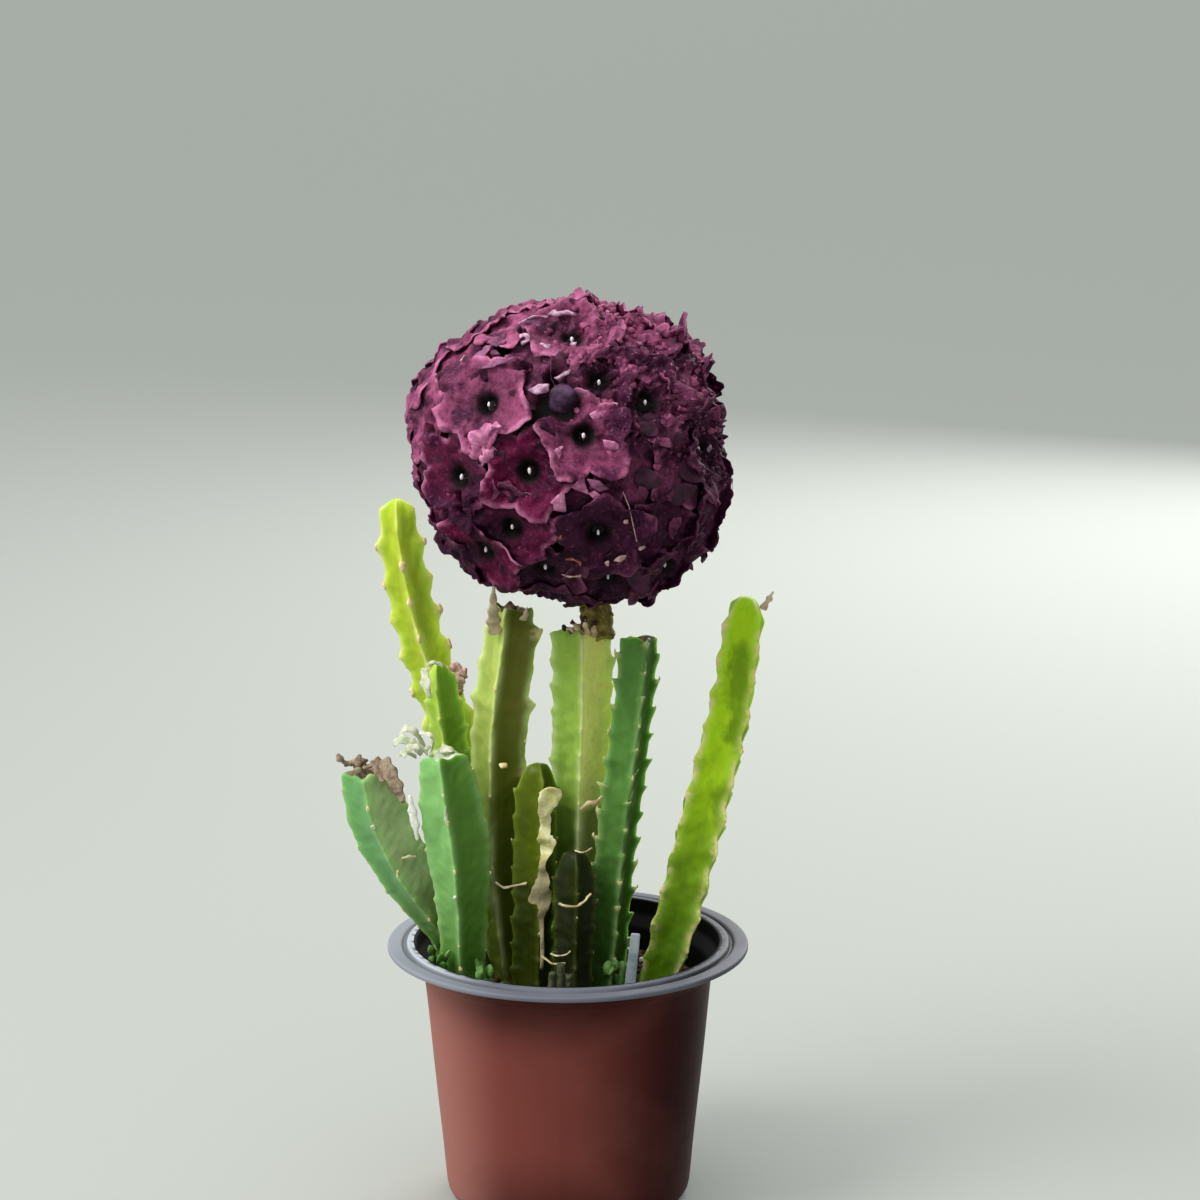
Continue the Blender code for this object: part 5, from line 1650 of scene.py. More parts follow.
@dataclass
class HeadTrimmings:
    """What sits on and between the florets: turned-up lobes, pale nubs, a bud, dry curls, crumbs and points."""

    head: FlowerHead
    crumbs: int = 330
    ruff: int = 44
    ruffed: tuple[float, float] = (15, 38)
    bud: tuple[float, float] = (-2, 32)
    bud_room: float = 10.0
    points: int = 30
    seed: int = 29
    florets: list[FloretDraw] = field(default_factory=list)
    lobes: tuple[Lobe, ...] = (
        Lobe(-50, 41, 38, 0.0075, 0.0026, 0.30, 0.0006, Trim.MAUVE.value),
        Lobe(-42, 38, 22, 0.0120, 0.0013, 0.16, 0.0016, Trim.MAUVE.value),
        Lobe(35, 12, 20, 0.0060, 0.0024, 0.45, 0.0, Trim.DARK.value),
        Lobe(-14, 62, 170, 0.0085, 0.0034, 0.25, 0.0, Trim.MAUVE.value),
        Lobe(28, 22, -60, 0.0065, 0.0030, 0.40, 0.0, Trim.DARK.value),
        Lobe(24, 2, -20, 0.0070, 0.0030, 0.40, 0.0, Trim.DARK.value),
        Lobe(38, -8, 30, 0.0075, 0.0032, 0.45, 0.0, Trim.DARK.value),
        Lobe(44, 4, -40, 0.0075, 0.0032, 0.50, 0.0, Trim.DARK.value),
        Lobe(30, -34, -70, 0.0075, 0.0032, 0.50, 0.0, Trim.DARK.value),
    )
    chips: tuple[Chip, ...] = (
        Chip(-3, -6, ((1.6, 3.6), (2.0, -3.0), (-3.0, -2.2), (-2.0, 0.4), (0.2, 2.6)), Trim.PINK.value, 0.0014, 0.25),
        Chip(3, 0, ((-3.8, 0.8), (1.8, 3.1), (2.4, 0.0), (3.5, -2.8), (0.0, -1.4)), Trim.PINK.value),
        Chip(10, -4, ((-2.3, 0.8), (-0.7, 1.6), (2.5, -1.0), (1.9, -2.0), (-0.7, -1.0)), Trim.PINK.value),
        Chip(10, 0, ((-2.9, 1.8), (0.5, 1.2), (3.1, -1.2), (0.5, -1.9), (-1.8, -0.4)), Trim.MAUVE.value, 0.0014),
        Chip(-4, 10, ((-1.2, 1.0), (0.6, 2.0), (1.6, 0.4), (0.4, -1.8), (-1.4, -1.2)), Trim.PINK.value),
        Chip(-2, 4, ((-2.0, -0.6), (-0.4, 2.2), (1.8, 1.0), (2.0, -1.4), (0.0, -1.8)), Trim.PINK.value),
        Chip(16, 13, ((-2.8, 1.6), (0.2, 1.0), (3.0, -1.2), (0.6, -1.4), (-2.4, -0.6)), Trim.PINK.value),
        Chip(11, 24, ((-2.0, 0.2), (0.4, 1.4), (2.2, 0.8), (0.8, -1.2), (-1.2, -1.2)), Trim.PINK.value, 0.0006),
        Chip(-26, 53, ((-1.8, 1.4), (1.2, 1.6), (2.2, -0.4), (0.2, -2.2), (-1.0, -0.6)), Trim.PALE.value),
        Chip(-14, 50, ((-2.4, -0.4), (-0.2, 1.2), (2.2, 1.4), (2.4, -0.4), (-0.6, -1.4)), Trim.PALE.value),
        Chip(-11, 32, ((-3.0, -0.6), (-0.4, 1.4), (2.6, 1.6), (2.4, -0.4), (-0.4, -1.8)), Trim.PALE.value, 0.0018),
        Chip(-2, 39, ((-2.4, -1.2), (0.2, 0.6), (2.0, 1.4), (1.6, 0.2), (-1.0, -1.6)), Trim.PALE.value, 0.0004),
        Chip(3, 56, ((-1.0, -0.8), (0.0, 1.2), (1.2, 0.6), (0.8, -1.0)), Trim.PALE.value, 0.0006),
        Chip(-41, 50, ((-3.4, -0.8), (-1.2, 1.6), (2.2, 1.2), (3.4, -0.6), (0.4, -1.6)), Trim.MAUVE.value),
        Chip(-38, 45, ((-2.2, 0.4), (0.6, 0.9), (2.4, -0.2), (0.0, -1.0)), Trim.MAUVE.value),
        Chip(-56, 41, ((-0.8, -0.8), (-0.2, 1.2), (0.8, 0.6), (0.6, -1.0)), Trim.CREAM.value),
        Chip(-9, 46, ((-1.8, 0.8), (1.0, 2.0), (2.4, -0.2), (0.6, -2.2), (-1.6, -1.4)), Trim.MAUVE.value, 0.0004),
        Chip(-12, 70, ((-5.0, -0.8), (-1.0, 0.8), (4.0, 1.4), (5.4, 0.2), (0.0, -1.2)), Trim.PALE.value, 0.0008),
        Chip(18, 27, ((-1.2, -0.6), (0.0, 1.0), (1.4, 0.4), (0.4, -1.0)), Trim.PINK.value, 0.0006),
        Chip(21, -28, ((-2.2, -0.8), (-0.8, 0.8), (1.4, 1.2), (2.4, 0.2), (0.2, -1.0)), Trim.CREAM.value),
    )
    wad: tuple[tuple[float, float, float], ...] = (
        (-31, 15, 0.0040), (-28, 10, 0.0032), (-33, 9, 0.0030), (-26, 18, 0.0020),
    )
    specks: tuple[Speck, ...] = (
        Speck(-3, 12, (0.0010, 0.0009, 0.0006), 0.0, Trim.PINK.value),
        Speck(34, 20, (0.0026, 0.0022, 0.0012), -0.0006, Trim.DARK.value),
        Speck(16, -31, (0.0006, 0.0007, 0.0006), 0.0004, Trim.CREAM.value),
        Speck(28, -24, (0.0007, 0.0006, 0.0006), 0.0006, Trim.CREAM.value),
        Speck(21, -14, (0.0005, 0.0007, 0.0005), 0.0004, Trim.CREAM.value),
        Speck(-3, -19, (0.0006, 0.0011, 0.0006), 0.0002, Trim.RUST.value),
        Speck(-26, -8, (0.0006, 0.0009, 0.0005), 0.0002, Trim.RUST.value),
        Speck(-62, -2, (0.0007, 0.0010, 0.0007), 0.0, Trim.CREAM.value),
        Speck(-50, -34, (0.0007, 0.0010, 0.0007), 0.0, Trim.CREAM.value),
        Speck(68, 6, (0.0008, 0.0011, 0.0006), 0.0006, Trim.PALE.value),
    )
    spikes: tuple[tuple[float, float], ...] = (
        (84, 26), (76, 15), (88, 8), (72, 3), (86, -3), (80, -9), (74, -15), (86, -20), (70, -24), (80, -30),
        (64, -33), (78, -39), (58, -40), (68, -45), (55, -49), (40, -52), (66, 33), (60, 42),
    )

    @staticmethod
    def tangents(direction: np.ndarray) -> tuple[np.ndarray, np.ndarray]:
        """The directions sideways and up along the surface."""
        side = unit(np.cross(UP, direction))
        return side, np.cross(direction, side)

    def surface(self, direction: np.ndarray, rise: float = 0.0) -> np.ndarray:
        """The point that lies a rise above the florets."""
        dip = float(self.head.terrain(direction, self.florets)[0])
        return self.head.at(direction, self.head.inset + 0.0005 + dip - rise)

    def add_lobe(self, draft: Draft, lobe: Lobe, twist: float = 0.0, **values: float) -> None:
        """Add a thin, cupped lobe.

        Args:
            draft: Where it goes.
            lobe: Its place and size.
            twist: How far it is turned about its own length, in radians.
            values: Painted values.
        """
        direction = self.head.facing(lobe.azimuth, lobe.elevation)
        side, up = self.tangents(direction)
        heading = math.radians(lobe.heading)
        along = side * math.cos(heading) + up * math.sin(heading)
        foot = self.surface(direction, lobe.rise - 0.0003)
        share = np.linspace(0, 1, 14)
        reach = share * lobe.length
        out = lobe.lift * reach * share**0.7 - reach**2 / (2 * self.head.radius)
        path = foot + along * reach[:, None] + direction * out[:, None]
        wide = lobe.half * np.maximum(np.sin(math.pi * share**0.75), 0.06) ** 0.7
        across = np.cross(along, direction)
        across = across * math.cos(twist) + direction * math.sin(twist)
        shaft(draft, path, wide, 0.00032, across, 14, lobe.finish, **values)
        points = draft.points[-1]
        points += direction * (0.00035 * ripple(points, 0.0042, 83) + 0.00015 * ripple(points, 0.0018, 84))[:, None]

    def add_chip(self, draft: Draft, chip: Chip, number: int) -> None:
        """Add a thin angular scrap that lies on the florets.

        Args:
            draft: Where it goes.
            chip: Its place and outline.
            number: Its number, which picks its unevenness.
        """
        corners_of = np.array([*chip.outline, chip.outline[0]]) * MM
        t = np.linspace(0, len(chip.outline), 40, endpoint=False)
        rim = np.stack([np.interp(t, np.arange(len(corners_of)), corners_of[:, k]) for k in range(2)], axis=-1)
        rim = (np.roll(rim, 1, axis=0) + 3 * rim + np.roll(rim, -1, axis=0)) / 5
        rings = ((0.35, 0.45), (0.7, 0.40), (0.93, 0.30), (1.0, 0.0), (0.94, -0.35), (0.5, -0.6))
        middle = self.head.facing(chip.azimuth, chip.elevation)
        side, up = self.tangents(middle)
        flat = [np.concatenate([rim * share, np.full((40, 1), rise * MM)], axis=1) for share, rise in rings]
        local = np.concatenate([*flat, [[0.0, 0.0, 0.45 * MM], [0.0, 0.0, -0.6 * MM]]])
        sagged = local[:, 2] + chip.tilt * local[:, 1] - (local[:, :2] ** 2).sum(axis=1) / (2 * self.head.radius)
        points = (self.surface(middle, chip.rise) + side * local[:, :1] + up * local[:, 1:2]
                  + middle * sagged[:, None])
        points += middle * (0.00032 * ripple(points, 0.0026, 300 + number))[:, None]
        faces = [grid_faces(len(rings), 40, flip=True), fan_faces(0, 40, len(local) - 2),
                 fan_faces(40 * (len(rings) - 1), 40, len(local) - 1, flip=True)]
        draft.add(points, faces, chip.finish)

    def add_curl(self, draft: Draft, places: Sequence[tuple[float, float, float]], radius: float, finish: int) -> None:
        """Add a dry thread through (azimuth, elevation, rise) places."""
        rough = np.array([self.surface(self.head.facing(a, e), rise) for a, e, rise in places])
        t = np.linspace(0, len(rough) - 1, 6 * len(rough))
        path = np.stack([np.interp(t, np.arange(len(rough)), rough[:, k]) for k in range(3)], axis=-1)
        path[1:-1] = (path[:-2] + 2 * path[1:-1] + path[2:]) / 4
        radii = radius * (0.55 + 0.45 * np.sin(t * 2.3) ** 2)
        shaft(draft, path, radii, radii * 0.6, UP + FRONT * 0.3, 8, finish)

    def build_bits(self) -> None:
        """Lobes, nubs and dry curls of every colour but the head's own."""
        draft = Draft()
        for number, lobe in enumerate(self.lobes):
            self.add_lobe(draft, lobe, 0.25 * math.sin(number * 2.1))
        for number, chip in enumerate(self.chips):
            self.add_chip(draft, chip, number)
        for number, (azimuth, elevation, size) in enumerate(self.wad):
            direction = self.head.facing(azimuth, elevation)
            lump(draft, self.surface(direction, 0.0004), (size, size * 0.75, size * 0.7), 440 + number, 3, 0.26,
                 Trim.PINK.value, frame_of=turned_axes(direction, number * 0.9))
            points = draft.points[-1]
            points += direction * (0.0005 * ripple(points, 0.0026, 450))[:, None]
        for number, speck in enumerate(self.specks):
            direction = self.head.facing(speck.azimuth, speck.elevation)
            side, up = self.tangents(direction)
            lump(draft, self.surface(direction, speck.rise), speck.size, 400 + number, 3, 0.42, speck.finish,
                 frame_of=np.stack([side, up, direction], axis=1))
        cream, rust, pale = Trim.CREAM.value, Trim.RUST.value, Trim.PALE.value
        self.add_curl(draft, ((-1, -29, 0.0004), (2, -28, 0.0012), (5, -30, 0.0010), (5, -32, 0.0004)), 0.00042, rust)
        self.add_curl(draft, ((-3, -39, 0.0004), (1, -38, 0.0010), (5, -37, 0.0009), (8, -35, 0.0004)), 0.00036, cream)
        self.add_curl(draft, ((19, -3, 0.0006), (21, -8, 0.0012), (23, -14, 0.0008), (25, -20, 0.0010), (27, -24, 0.0006)),
                      0.00017, cream)
        self.add_curl(draft, ((84, -2, 0.0006), (85, -7, 0.0022), (85, -11, 0.0030), (82, -16, 0.0006)), 0.00017, cream)
        self.add_curl(draft, ((-40, 62, 0.0008), (-30, 66, 0.0016), (-18, 67, 0.0010)), 0.00040, pale)
        finishes = (PINK_LOBE, MAUVE_LOBE, PALE_BITS, RUSTY_BITS, DARK_LOBE, PINKISH_BITS)
        draft.piece("loose_lobes", [finish.material() for finish in finishes], "corolla")

    def build_bud(self) -> None:
        """The violet-grey bud in the dark gap."""
        draft = Draft()
        direction = self.head.facing(*self.bud)
        lump(draft, self.head.at(direction, 0.0078), (0.0044, 0.0034, 0.0036), 505, 3, 0.20)
        draft.piece("bud", [BUD_SKIN.material()], "corolla")

    def build_crumbs(self) -> None:
        """Crumbly outgrowths over the old florets at the upper right, and pointed tips along the right side."""
        draws = np.random.default_rng(self.seed)
        draft = Draft("tint", "dusk", "edge", "throat", "crumple")
        bud = self.head.facing(*self.bud)
        placed = 0
        while placed < self.crumbs:
            direction = unit(draws.normal(size=3))
            dark = float(self.head.terrain(direction, self.florets)[1])
            if direction @ bud > math.cos(math.radians(self.bud_room)):
                continue
            if dark > 0.3 or draws.uniform() > self.head.crumpled(direction) ** 1.5 * 1.1:
                continue
            placed += 1
            size = draws.uniform(0.0004, 0.0013)
            # Painted shade: crumbs that face down take more dusk.
            dusk = float(np.clip(0.70 - direction[2] * 0.9 + draws.normal(0, 0.2), 0, 1))
            lump(draft, self.surface(direction, draws.uniform(-0.0004, 0.0005)), size * draws.uniform(0.6, 1.2, 3),
                 int(draws.integers(1 << 30)), 2, 0.28, frame_of=turned_axes(unit(draws.normal(size=3))), dusk=dusk,
                 edge=draws.uniform(0.0, 0.4), crumple=1.0, tint=draws.uniform(0.0, 0.5))
        bowl = self.head.facing(*self.ruffed)
        side, up = self.tangents(bowl)
        for _ in range(self.ruff):
            turn = math.radians(draws.uniform(5, 165))
            direction = unit(bowl + (side * math.cos(turn) + up * math.sin(turn)) * draws.uniform(0.17, 0.24))
            size = draws.uniform(0.0008, 0.0017)
            if direction @ bud > math.cos(math.radians(self.bud_room)):
                continue
            lump(draft, self.surface(direction, 0.0002), size * draws.uniform(0.8, 1.1, 3), int(draws.integers(1 << 30)), 3,
                 0.25, dusk=draws.uniform(0.0, 0.5), edge=0.3, crumple=1.0, tint=draws.uniform(0.0, 0.4))
        # Painted shade: the pointed tips along the shaded right side take full dusk.
        for azimuth, elevation in self.spikes:
            lobe = Lobe(azimuth, elevation, draws.uniform(-60, 10), draws.uniform(0.0040, 0.0056),
                        draws.uniform(0.0018, 0.0028), draws.uniform(0.45, 0.75), -0.0012)
            self.add_lobe(draft, lobe, draws.uniform(-0.8, 0.8), dusk=1.0, edge=0.1)
        # Painted shade on the scattered points at the right, dusk from a half to full.
        for _ in range(self.points):
            lobe = Lobe(draws.uniform(20, 120), draws.uniform(-50, 45), draws.uniform(0, 360),
                        draws.uniform(0.0040, 0.0065), draws.uniform(0.0018, 0.0030), draws.uniform(0.25, 0.55), -0.0008)
            self.add_lobe(draft, lobe, draws.uniform(-0.6, 0.6), dusk=draws.uniform(0.5, 1.0), edge=0.25)
        draft.piece("crumpled_lobes", [COROLLA.material()], "corolla")

    def build(self) -> None:
        """Everything on the head."""
        self.florets = self.head.draw_florets()
        self.build_bits()
        self.build_bud()
        self.build_crumbs()


@dataclass
class DryRemains:
    """Dried tips, papery skins, ledges and stubs on the stems, and green buds at their feet."""

    seed: int = 43

    @staticmethod
    def strip(draft: Draft, places: Sequence[tuple[float, float, float]], half: Sequence[float] | float,
              thick: float, side: tuple[float, float, float], finish: int = 0) -> None:
        """Add a curved strip through places given in millimetres.

        Args:
            draft: Where it goes.
            places: Points along it, in millimetres.
            half: Half-widths in millimetres, one for each place or one for all.
            thick: Half-thickness in millimetres.
            side: The direction of its width.
            finish: Which material it takes.
        """
        rough = np.array(places, float) * MM
        count = len(rough)
        t = np.linspace(0, count - 1, 7 * count)
        path = np.stack([np.interp(t, np.arange(count), rough[:, k]) for k in range(3)], axis=-1)
        for _ in range(3):
            path[1:-1] = (path[:-2] + 2 * path[1:-1] + path[2:]) / 4
        wide = np.interp(t, np.arange(count), np.broadcast_to(half, count)) * MM
        wide = wide * (1 + 0.15 * np.sin(t * 7.3))
        shaft(draft, path, wide, thick * MM, side, 10, finish)
        points = draft.points[-1]
        points += (0.00018 * ripple(points, 0.0026, 97))[:, None] * unit(points - points.mean(axis=0))

    def build_tips(self) -> None:
        """The awl-shaped dry tip of the left middle stem, and the dry corner of the right tall stem."""
        draft = Draft()
        self.strip(draft, ((-19.6, -3.2, 161.0), (-20.0, -6.4, 165.0), (-19.9, -11.5, 169.6), (-19.6, -17.5, 174.6),
                           (-19.2, -23.0, 179.8)), (1.7, 2.0, 1.4, 0.8, 0.15), 0.6, (1, 0.2, 0))
        self.strip(draft, ((-12.0, -3.4, 164.8), (-11.2, -4.2, 166.8), (-10.9, -4.4, 168.4)), (1.0, 0.6, 0.15), 0.4, (1, 0, 0))
        self.strip(draft, ((53.0, -4.5, 168.0), (54.6, -4.8, 171.0), (55.8, -4.6, 173.0)), (1.0, 0.8, 0.2), 0.5, (1, 0, 0))
        draws = np.random.default_rng(self.seed + 3)
        for k in range(14):
            place = np.array([-30.6, 19.6, 142.4]) + draws.normal(size=3) * (1.3, 0.8, 2.0)
            lump(draft, place * MM, draws.uniform(0.7, 1.6, 3) * (1, 0.6, 1) * MM, 700 + k, 3, 0.35, 1)
        draft.piece("dry_tips", [AWL.material(), PINKISH_BITS.material()], "husk")

    def build_papers(self) -> None:
        """Curled grey skins at the tops of the two broad left stems."""
        draws = np.random.default_rng(self.seed)
        draft = Draft()
        for k in range(26):
            place = np.array([-57.0, -4.8, 124.2]) + draws.normal(size=3) * (1.9, 1.2, 0.9)
            lump(draft, place * MM, draws.uniform(0.4, 1.2, 3) * MM, k, 2, 0.35)
        self.strip(draft, ((-50.4, -8.4, 127.0), (-48.6, -10.2, 124.0), (-46.4, -11.6, 120.0), (-44.6, -12.2, 116.0)),
                   (1.8, 2.2, 1.9, 0.6), 0.30, (1, 0, 0.3))
        self.strip(draft, ((-52.6, -7.4, 126.8), (-51.0, -9.6, 124.0), (-50.4, -10.6, 121.0)), (1.3, 1.6, 0.5), 0.25, (1, 0, 0))
        draft.piece("withered_tops", [WITHERED.material()], "husk")
        papers = Draft()
        base = (-38.0, -10.0, 127.6)
        curls = (((-1, -1, 2), (-4, -2, 5), (-7, -1, 6), (-9, 0, 4.5)), ((0, -2, 2), (-2, -4, 4.6), (-5, -5, 4.4), (-6.4, -5, 2.2)),
                 ((1, 0, 2), (2, -1, 5), (1, -1, 7), (-2, 0, 7.4)), ((2, -2, 1.6), (4.6, -3, 3.6), (7, -3, 3.4), (8.6, -3, 2)),
                 ((-3, -3, 1.4), (-5.4, -4, 2.8), (-8, -4, 1.6)), ((-1, 1, 3), (-3, 1, 7.2), (-6, 1, 8.6), (-7.4, 2, 7)))
        for curl in curls:
            self.strip(papers, [tuple(np.add(base, step)) for step in curl], draws.uniform(0.8, 1.5), 0.16,
                       tuple(draws.normal(size=3) * 0.3 + (0, 1, 0.4)))
        for k in range(5):
            place = np.array(base) + draws.normal(size=3) * (3.4, 1.6, 1.2) + (-2.0, -1.0, 2.0)
            lump(papers, place * MM, draws.uniform(0.4, 0.8, 3) * MM, 60 + k, 2, 0.35)
        self.strip(papers, ((-42.7, -15.4, 119.0), (-42.0, -16.2, 115.0), (-41.2, -16.6, 110.6), (-40.6, -16.2, 106.4)),
                   (0.3, 1.2, 1.0, 0.3), 0.35, (1, 0, 0.2), 1)
        self.strip(papers, ((-39.0, 0.4, 150.6), (-38.8, -1.0, 146.6), (-37.6, -1.6, 142.4)), (0.9, 1.7, 0.5), 0.3, (1, -0.4, 0))
        self.strip(papers, ((-38.6, 1.0, 150.8), (-36.6, 0.2, 152.4), (-34.2, 0.6, 151.0)), (0.6, 1.0, 0.5), 0.35, (0, 1, 0.4))
        for x, y, z, wide, tall, finish in ((-30.3, -21.8, 91.9, 0.75, 0.5, 1), (-52.8, -12.5, 108.9, 0.7, 0.7, 0),
                                            (-46.4, -11.3, 95.4, 0.4, 1.4, 2), (-32.5, -24.5, 115.7, 0.45, 1.9, 0)):
            lump(papers, np.array([x, y, z]) * MM, np.array([wide, 0.5, tall]) * MM, int(-x * 10), 3, 0.25, finish)
        lump(papers, np.array([-17.4, -7.2, 124.9]) * MM, np.array([1.2, 0.6, 0.7]) * MM, 178, 3, 0.25, 2)
        papers.piece("papery_skins", [PALE_TISSUE.material(), PERLITE.material(), DRY_SCALE.material()], "husk")

    def build_ledges(self) -> None:
        """Cream edges of dried segments across the low stems."""
        draft = Draft()
        for height, left, right, sag, half in ((105.2, 2.2, 6.6, 0.5, 0.22), (91.4, -2.4, 6.4, 2.0, 0.34),
                                               (76.4, -4.4, 1.6, 1.0, 0.24)):
            middle = (left + right) / 2
            self.strip(draft, ((left, -21.0, height - sag * 0.7), ((left + middle) / 2, -21.9, height - sag),
                               (middle, -22.2, height - sag), ((right + middle) / 2, -21.9, height - sag * 0.5),
                               (right, -20.6, height + sag * 0.6)), half, half, (0, 0, 1))
        self.strip(draft, ((-19.6, -11.4, 93.0), (-17.4, -11.9, 91.6), (-14.0, -12.4, 92.4), (-11.0, -13.2, 93.4)),
                   0.34, 0.28, (0, 0, 1))
        self.strip(draft, ((-45.4, -9.8, 99.3), (-43.5, -9.3, 99.7), (-41.4, -8.3, 99.4)), 0.35, 0.3, (0, 0, 1))
        self.strip(draft, ((3.6, -9.2, 113.2), (5.6, -10.2, 115.2), (8.0, -10.4, 115.4), (9.8, -9.4, 117.4)), (0.3, 0.6, 0.6, 0.2),
                   0.3, (0, 0, 1))
        self.strip(draft, ((-7.0, -18.0, 74.0), (-4.0, -19.8, 72.4), (-0.5, -20.4, 72.8)), 0.3, 0.25, (0, 0, 1))
        draft.piece("segment_ledges", [CREAM_BITS.material()], "husk")

    def build_stubs(self) -> None:
        """Blackened flower stubs beside the stalk, and a short dry stub in front of the low stems."""
        draws = np.random.default_rng(self.seed + 1)
        draft = Draft()
        for start, end, radius in (
            ((4.2, -4.6, 160.6), (1.4, -6.2, 164.8), 0.75), ((5.6, -4.8, 160.6), (4.6, -6.4, 165.6), 0.8),
            ((3.0, -3.0, 160.6), (-0.9, -4.6, 163.0), 0.6), ((7.2, -4.4, 160.4), (7.4, -5.8, 164.4), 0.7),
        ):
            middle = tuple((np.array(start) + end) / 2 + (0, -0.5, 0.6))
            self.strip(draft, (start, middle, end), (radius * 1.1, radius, radius * 0.5), radius * 0.7, (1, 0, 0))
            lump(draft, np.array(end) * MM, draws.uniform(0.6, 1.0, 3) * MM, int(radius * 100), 2, 0.3, 1)
        for x, height in ((-4.4, 72.6), (-1.9, 75.0), (0.6, 72.0)):
            self.strip(draft, ((x, -26.6, 59.6), (x * 0.95, -27.2, 66.0), (x * 0.9, -27.4, height)), (1.5, 1.6, 0.9), 1.1, (1, 0, 0), 2)
        draft.piece("dry_stubs", [CREAM_BITS.material(), CHARRED.material(), DARK_STUB.material()], "husk")

    def build_foot_buds(self) -> None:
        """Small green buds round the feet of the left stems."""
        draws = np.random.default_rng(self.seed + 2)
        draft = Draft()
        for x, y, z in ((-35, -14, 67), (-34, -16, 71), (-31, -19.5, 64.5), (-27, -20.5, 66), (-22.5, -20, 65), (-21.5, -19, 70),
                        (-37, -10, 66), (-36.6, -4, 70), (-18.6, -17, 64), (13.6, -15, 70), (14.6, -14, 66)):
            for k in range(3):
                place = np.array([x, y, z]) + draws.normal(size=3) * (1.0, 0.5, 1.0)
                lean = unit(draws.normal(size=3) * 0.35 + UP)
                lump(draft, place * MM, draws.uniform(0.7, 1.3, 3) * (1.0, 0.9, 2.4) * MM, int(draws.integers(1 << 30)), 3, 0.16,
                     frame_of=turned_axes(lean))
        draft.piece("foot_buds", [YOUNG_GREEN.material()], "lime_stem")

    def build(self) -> None:
        """All remains and buds."""
        self.build_tips()
        self.build_papers()
        self.build_ledges()
        self.build_stubs()
        self.build_foot_buds()


@dataclass
class DryHusk:
    """The cream papery strip that hangs down the front of the middle short stem."""

    thickness: float = 0.0008
    front: float = -0.0170
    stations: tuple[tuple[float, float, float], ...] = (
        (0.1215, -0.0044, 0.0032), (0.1180, -0.0050, 0.0040), (0.1135, -0.0060, 0.0020), (0.1085, -0.0062, 0.0020),
        (0.1060, -0.0053, 0.0032), (0.1010, -0.0066, 0.0011), (0.0975, -0.0066, 0.0016), (0.0940, -0.0070, 0.0026),
        (0.0905, -0.0071, 0.0043), (0.0872, -0.0066, 0.0018), (0.0840, -0.0070, 0.0008), (0.0700, -0.0072, 0.0006),
    )

    def build(self) -> None:
        """The strip, thin and a little twisted, that ends in a thread."""
        rows = np.array(self.stations)
        t = np.linspace(0, len(rows) - 1, 120)
        height, x, half = (np.interp(t, np.arange(len(rows)), rows[:, k]) for k in range(3))
        half = half * (0.82 + 0.05 * np.sin(t * 4.1) + 0.05 * np.sin(t * 11.3 + 1))
        half[:3] *= (0.35, 0.65, 0.85)
        y = self.front - 0.00025 + 0.00045 * np.sin(t * 3.3)
        draft = Draft("low")
        path = np.stack([x + 0.00025 * np.sin(t * 3.1), y, height], axis=-1)
        twist = 0.5 * np.sin(t * 0.9)
        side = np.stack([np.cos(twist), np.sin(twist), np.zeros_like(t)], axis=-1)
        shaft(draft, path, half, 0.00028, side, 18, low=smooth(-height, -0.104, -0.098))
        points = draft.points[0]
        points[:, 1] += 0.00040 * ripple(points, 0.0036, 61)
        draft.piece("husk_strip", [HUSK.material()], "husk", "dried_husk")


@dataclass
class PlantLabel:
    """The narrow plain label stuck in the soil at the front right."""

    width: float = 0.0034
    thickness: float = 0.0008
    foot: tuple[float, float, float] = (0.0158, -0.0180, 0.0530)
    top: tuple[float, float, float] = (0.0186, -0.0180, 0.0805)
    top_share: float = 0.75

    def build(self) -> None:
        """The strip, with round edges and a worn top."""
        foot, top = np.array(self.foot), np.array(self.top)
        share = np.concatenate([[0.0], np.linspace(0.02, 0.985, 28), [1.0]])
        path = foot + (top - foot) * share[:, None]
        half = self.width / 2 * (1 + (self.top_share - 1) * share)
        half[0] *= 0.8
        half[-1] *= 0.86
        turn = 2 * math.pi * np.arange(24) / 24
        box = np.stack([np.sign(np.cos(turn)) * np.abs(np.cos(turn)) ** 0.35,
                        np.sign(np.sin(turn)) * np.abs(np.sin(turn)) ** 0.35], axis=-1)
        along = unit(top - foot)
        across = unit(np.cross([0.0, 1.0, 0.0], along))
        rings = (path[:, None] + across * (half[:, None] * box[:, 0])[..., None]
                 + np.array([0.0, 1.0, 0.0]) * (self.thickness / 2 * box[:, 1])[None, :, None])
        rings[..., 1] += 0.0002 * np.sin(share * 5)[:, None]
        count = len(path)
        points = np.concatenate([rings.reshape(-1, 3), path[:1], path[-1:]])
        draft = Draft()
        draft.add(points, [grid_faces(count, 24, flip=True), fan_faces(0, 24, count * 24),
                           fan_faces((count - 1) * 24, 24, count * 24 + 1, flip=True)])
        draft.piece("label_strip", [LABEL_PLASTIC.material()], "label", "plant_label")


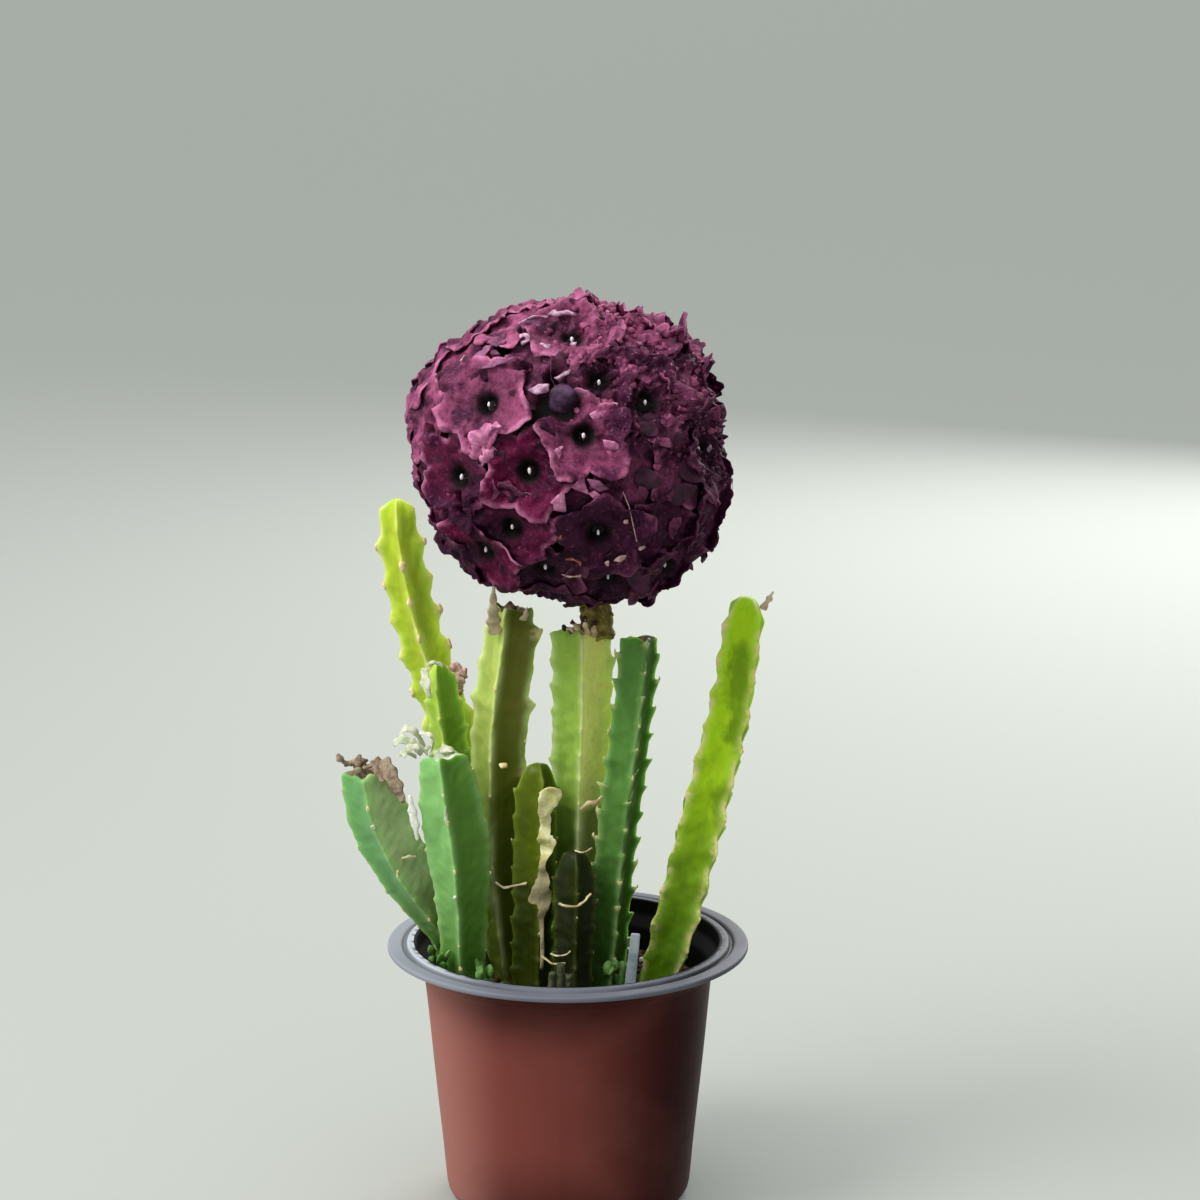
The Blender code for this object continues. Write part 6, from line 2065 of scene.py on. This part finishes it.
@dataclass
class Studio:
    """The camera at the photograph's viewing angle, soft light from the left and a plain pale floor."""

    camera_place: tuple[float, float, float] = (0.00889, -0.9562, 0.3798)
    camera_pitch: float = 12.4
    lens: float = 108.0
    sensor: float = 36.0

    def build_camera(self) -> None:
        """The camera."""
        data = bpy.data.cameras.new("camera")
        data.lens = self.lens
        data.sensor_width = self.sensor
        data.clip_start = 0.01
        camera = bpy.data.objects.new("camera", data)
        camera.location = self.camera_place
        camera.rotation_euler = (math.radians(90 - self.camera_pitch), 0, 0)
        bpy.context.scene.collection.objects.link(camera)
        bpy.context.scene.camera = camera

    def build_floor(self) -> None:
        """The floor."""
        mesh = bpy.data.meshes.new("floor")
        half = 12.0
        mesh.from_pydata([(-half, -half, 0), (half, -half, 0), (half, half, 0), (-half, half, 0)], [], [(0, 1, 2, 3)])
        recipe = Recipe("floor_paint", 0.85)
        recipe.colour(paint(156, 159, 155))
        mesh.materials.append(recipe.material)
        floor = bpy.data.objects.new("floor", mesh)
        bpy.context.scene.collection.objects.link(floor)
        floor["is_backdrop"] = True

    def build_lights(self) -> None:
        """A large soft key from the upper left and a rim light behind."""
        for name, place, size, power, tint in (
            ("key", (-0.62, -0.30, 0.92), 0.60, 9.0, (1.0, 0.985, 0.96)),
            ("rim", (0.45, 0.95, 0.55), 0.9, 9.0, (1.0, 1.0, 0.97)),
        ):
            data = bpy.data.lights.new(name, "AREA")
            data.shape = "DISK"
            data.size = size
            data.energy = power
            data.color = tint
            light = bpy.data.objects.new(name, data)
            light.location = place
            light.rotation_euler = (Vector((0, 0, 0.14)) - Vector(place)).to_track_quat("-Z", "Y").to_euler()
            bpy.context.scene.collection.objects.link(light)

    def build_sky(self) -> None:
        """A pale sky that is bright behind and to the left and dim at the right front."""
        world = bpy.data.worlds.new("sky")
        world.use_nodes = True
        bpy.context.scene.world = world
        tree = world.node_tree
        background = tree.nodes["Background"]
        place = tree.nodes.new("ShaderNodeTexCoord")
        side = tree.nodes.new("ShaderNodeVectorMath")
        side.operation = "DOT_PRODUCT"
        side.inputs[1].default_value = Vector((-0.50, 0.10, 0.80)).normalized()
        tree.links.new(place.outputs["Generated"], side.inputs[0])
        level = tree.nodes.new("ShaderNodeMapRange")
        level.interpolation_type = "SMOOTHSTEP"
        for label, number in (("From Min", -0.60), ("From Max", 0.9), ("To Min", 0.20), ("To Max", 1.25)):
            level.inputs[label].default_value = number
        tree.links.new(side.outputs["Value"], level.inputs["Value"])
        background.inputs["Color"].default_value = (0.96, 1.0, 0.97, 1.0)
        tree.links.new(level.outputs["Result"], background.inputs["Strength"])

    def build(self) -> None:
        """Everything that isn't part of the plant."""
        bpy.context.scene.view_settings.view_transform = "Standard"
        self.build_camera()
        self.build_floor()
        self.build_lights()
        self.build_sky()


def corners() -> list[list[float]]:
    """The whole model's box as plain lists."""
    return [[float(value) for value in corner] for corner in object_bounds()]


def main() -> None:
    """Build every sub-assembly in order and note the sizes."""
    logging.basicConfig(level=logging.INFO, format="%(name)s %(message)s")
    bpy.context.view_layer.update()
    pot = Pot()
    head = FlowerHead()
    steps: Sequence[tuple[str, Callable[[], None]]] = (
        ("studio", Studio().build), ("pot", pot.build), ("soil", Soil(pot).build), ("stems", StemClump().build),
        ("flower stalk", FlowerStalk().build), ("flower head", head.build), ("loose bits", HeadTrimmings(head).build),
        ("dry remains", DryRemains().build), ("husk", DryHusk().build), ("label", PlantLabel().build),
    )
    for name, build in steps:
        build()
        LOG.info("%s done", name)


if __name__ == "__main__":
    main()
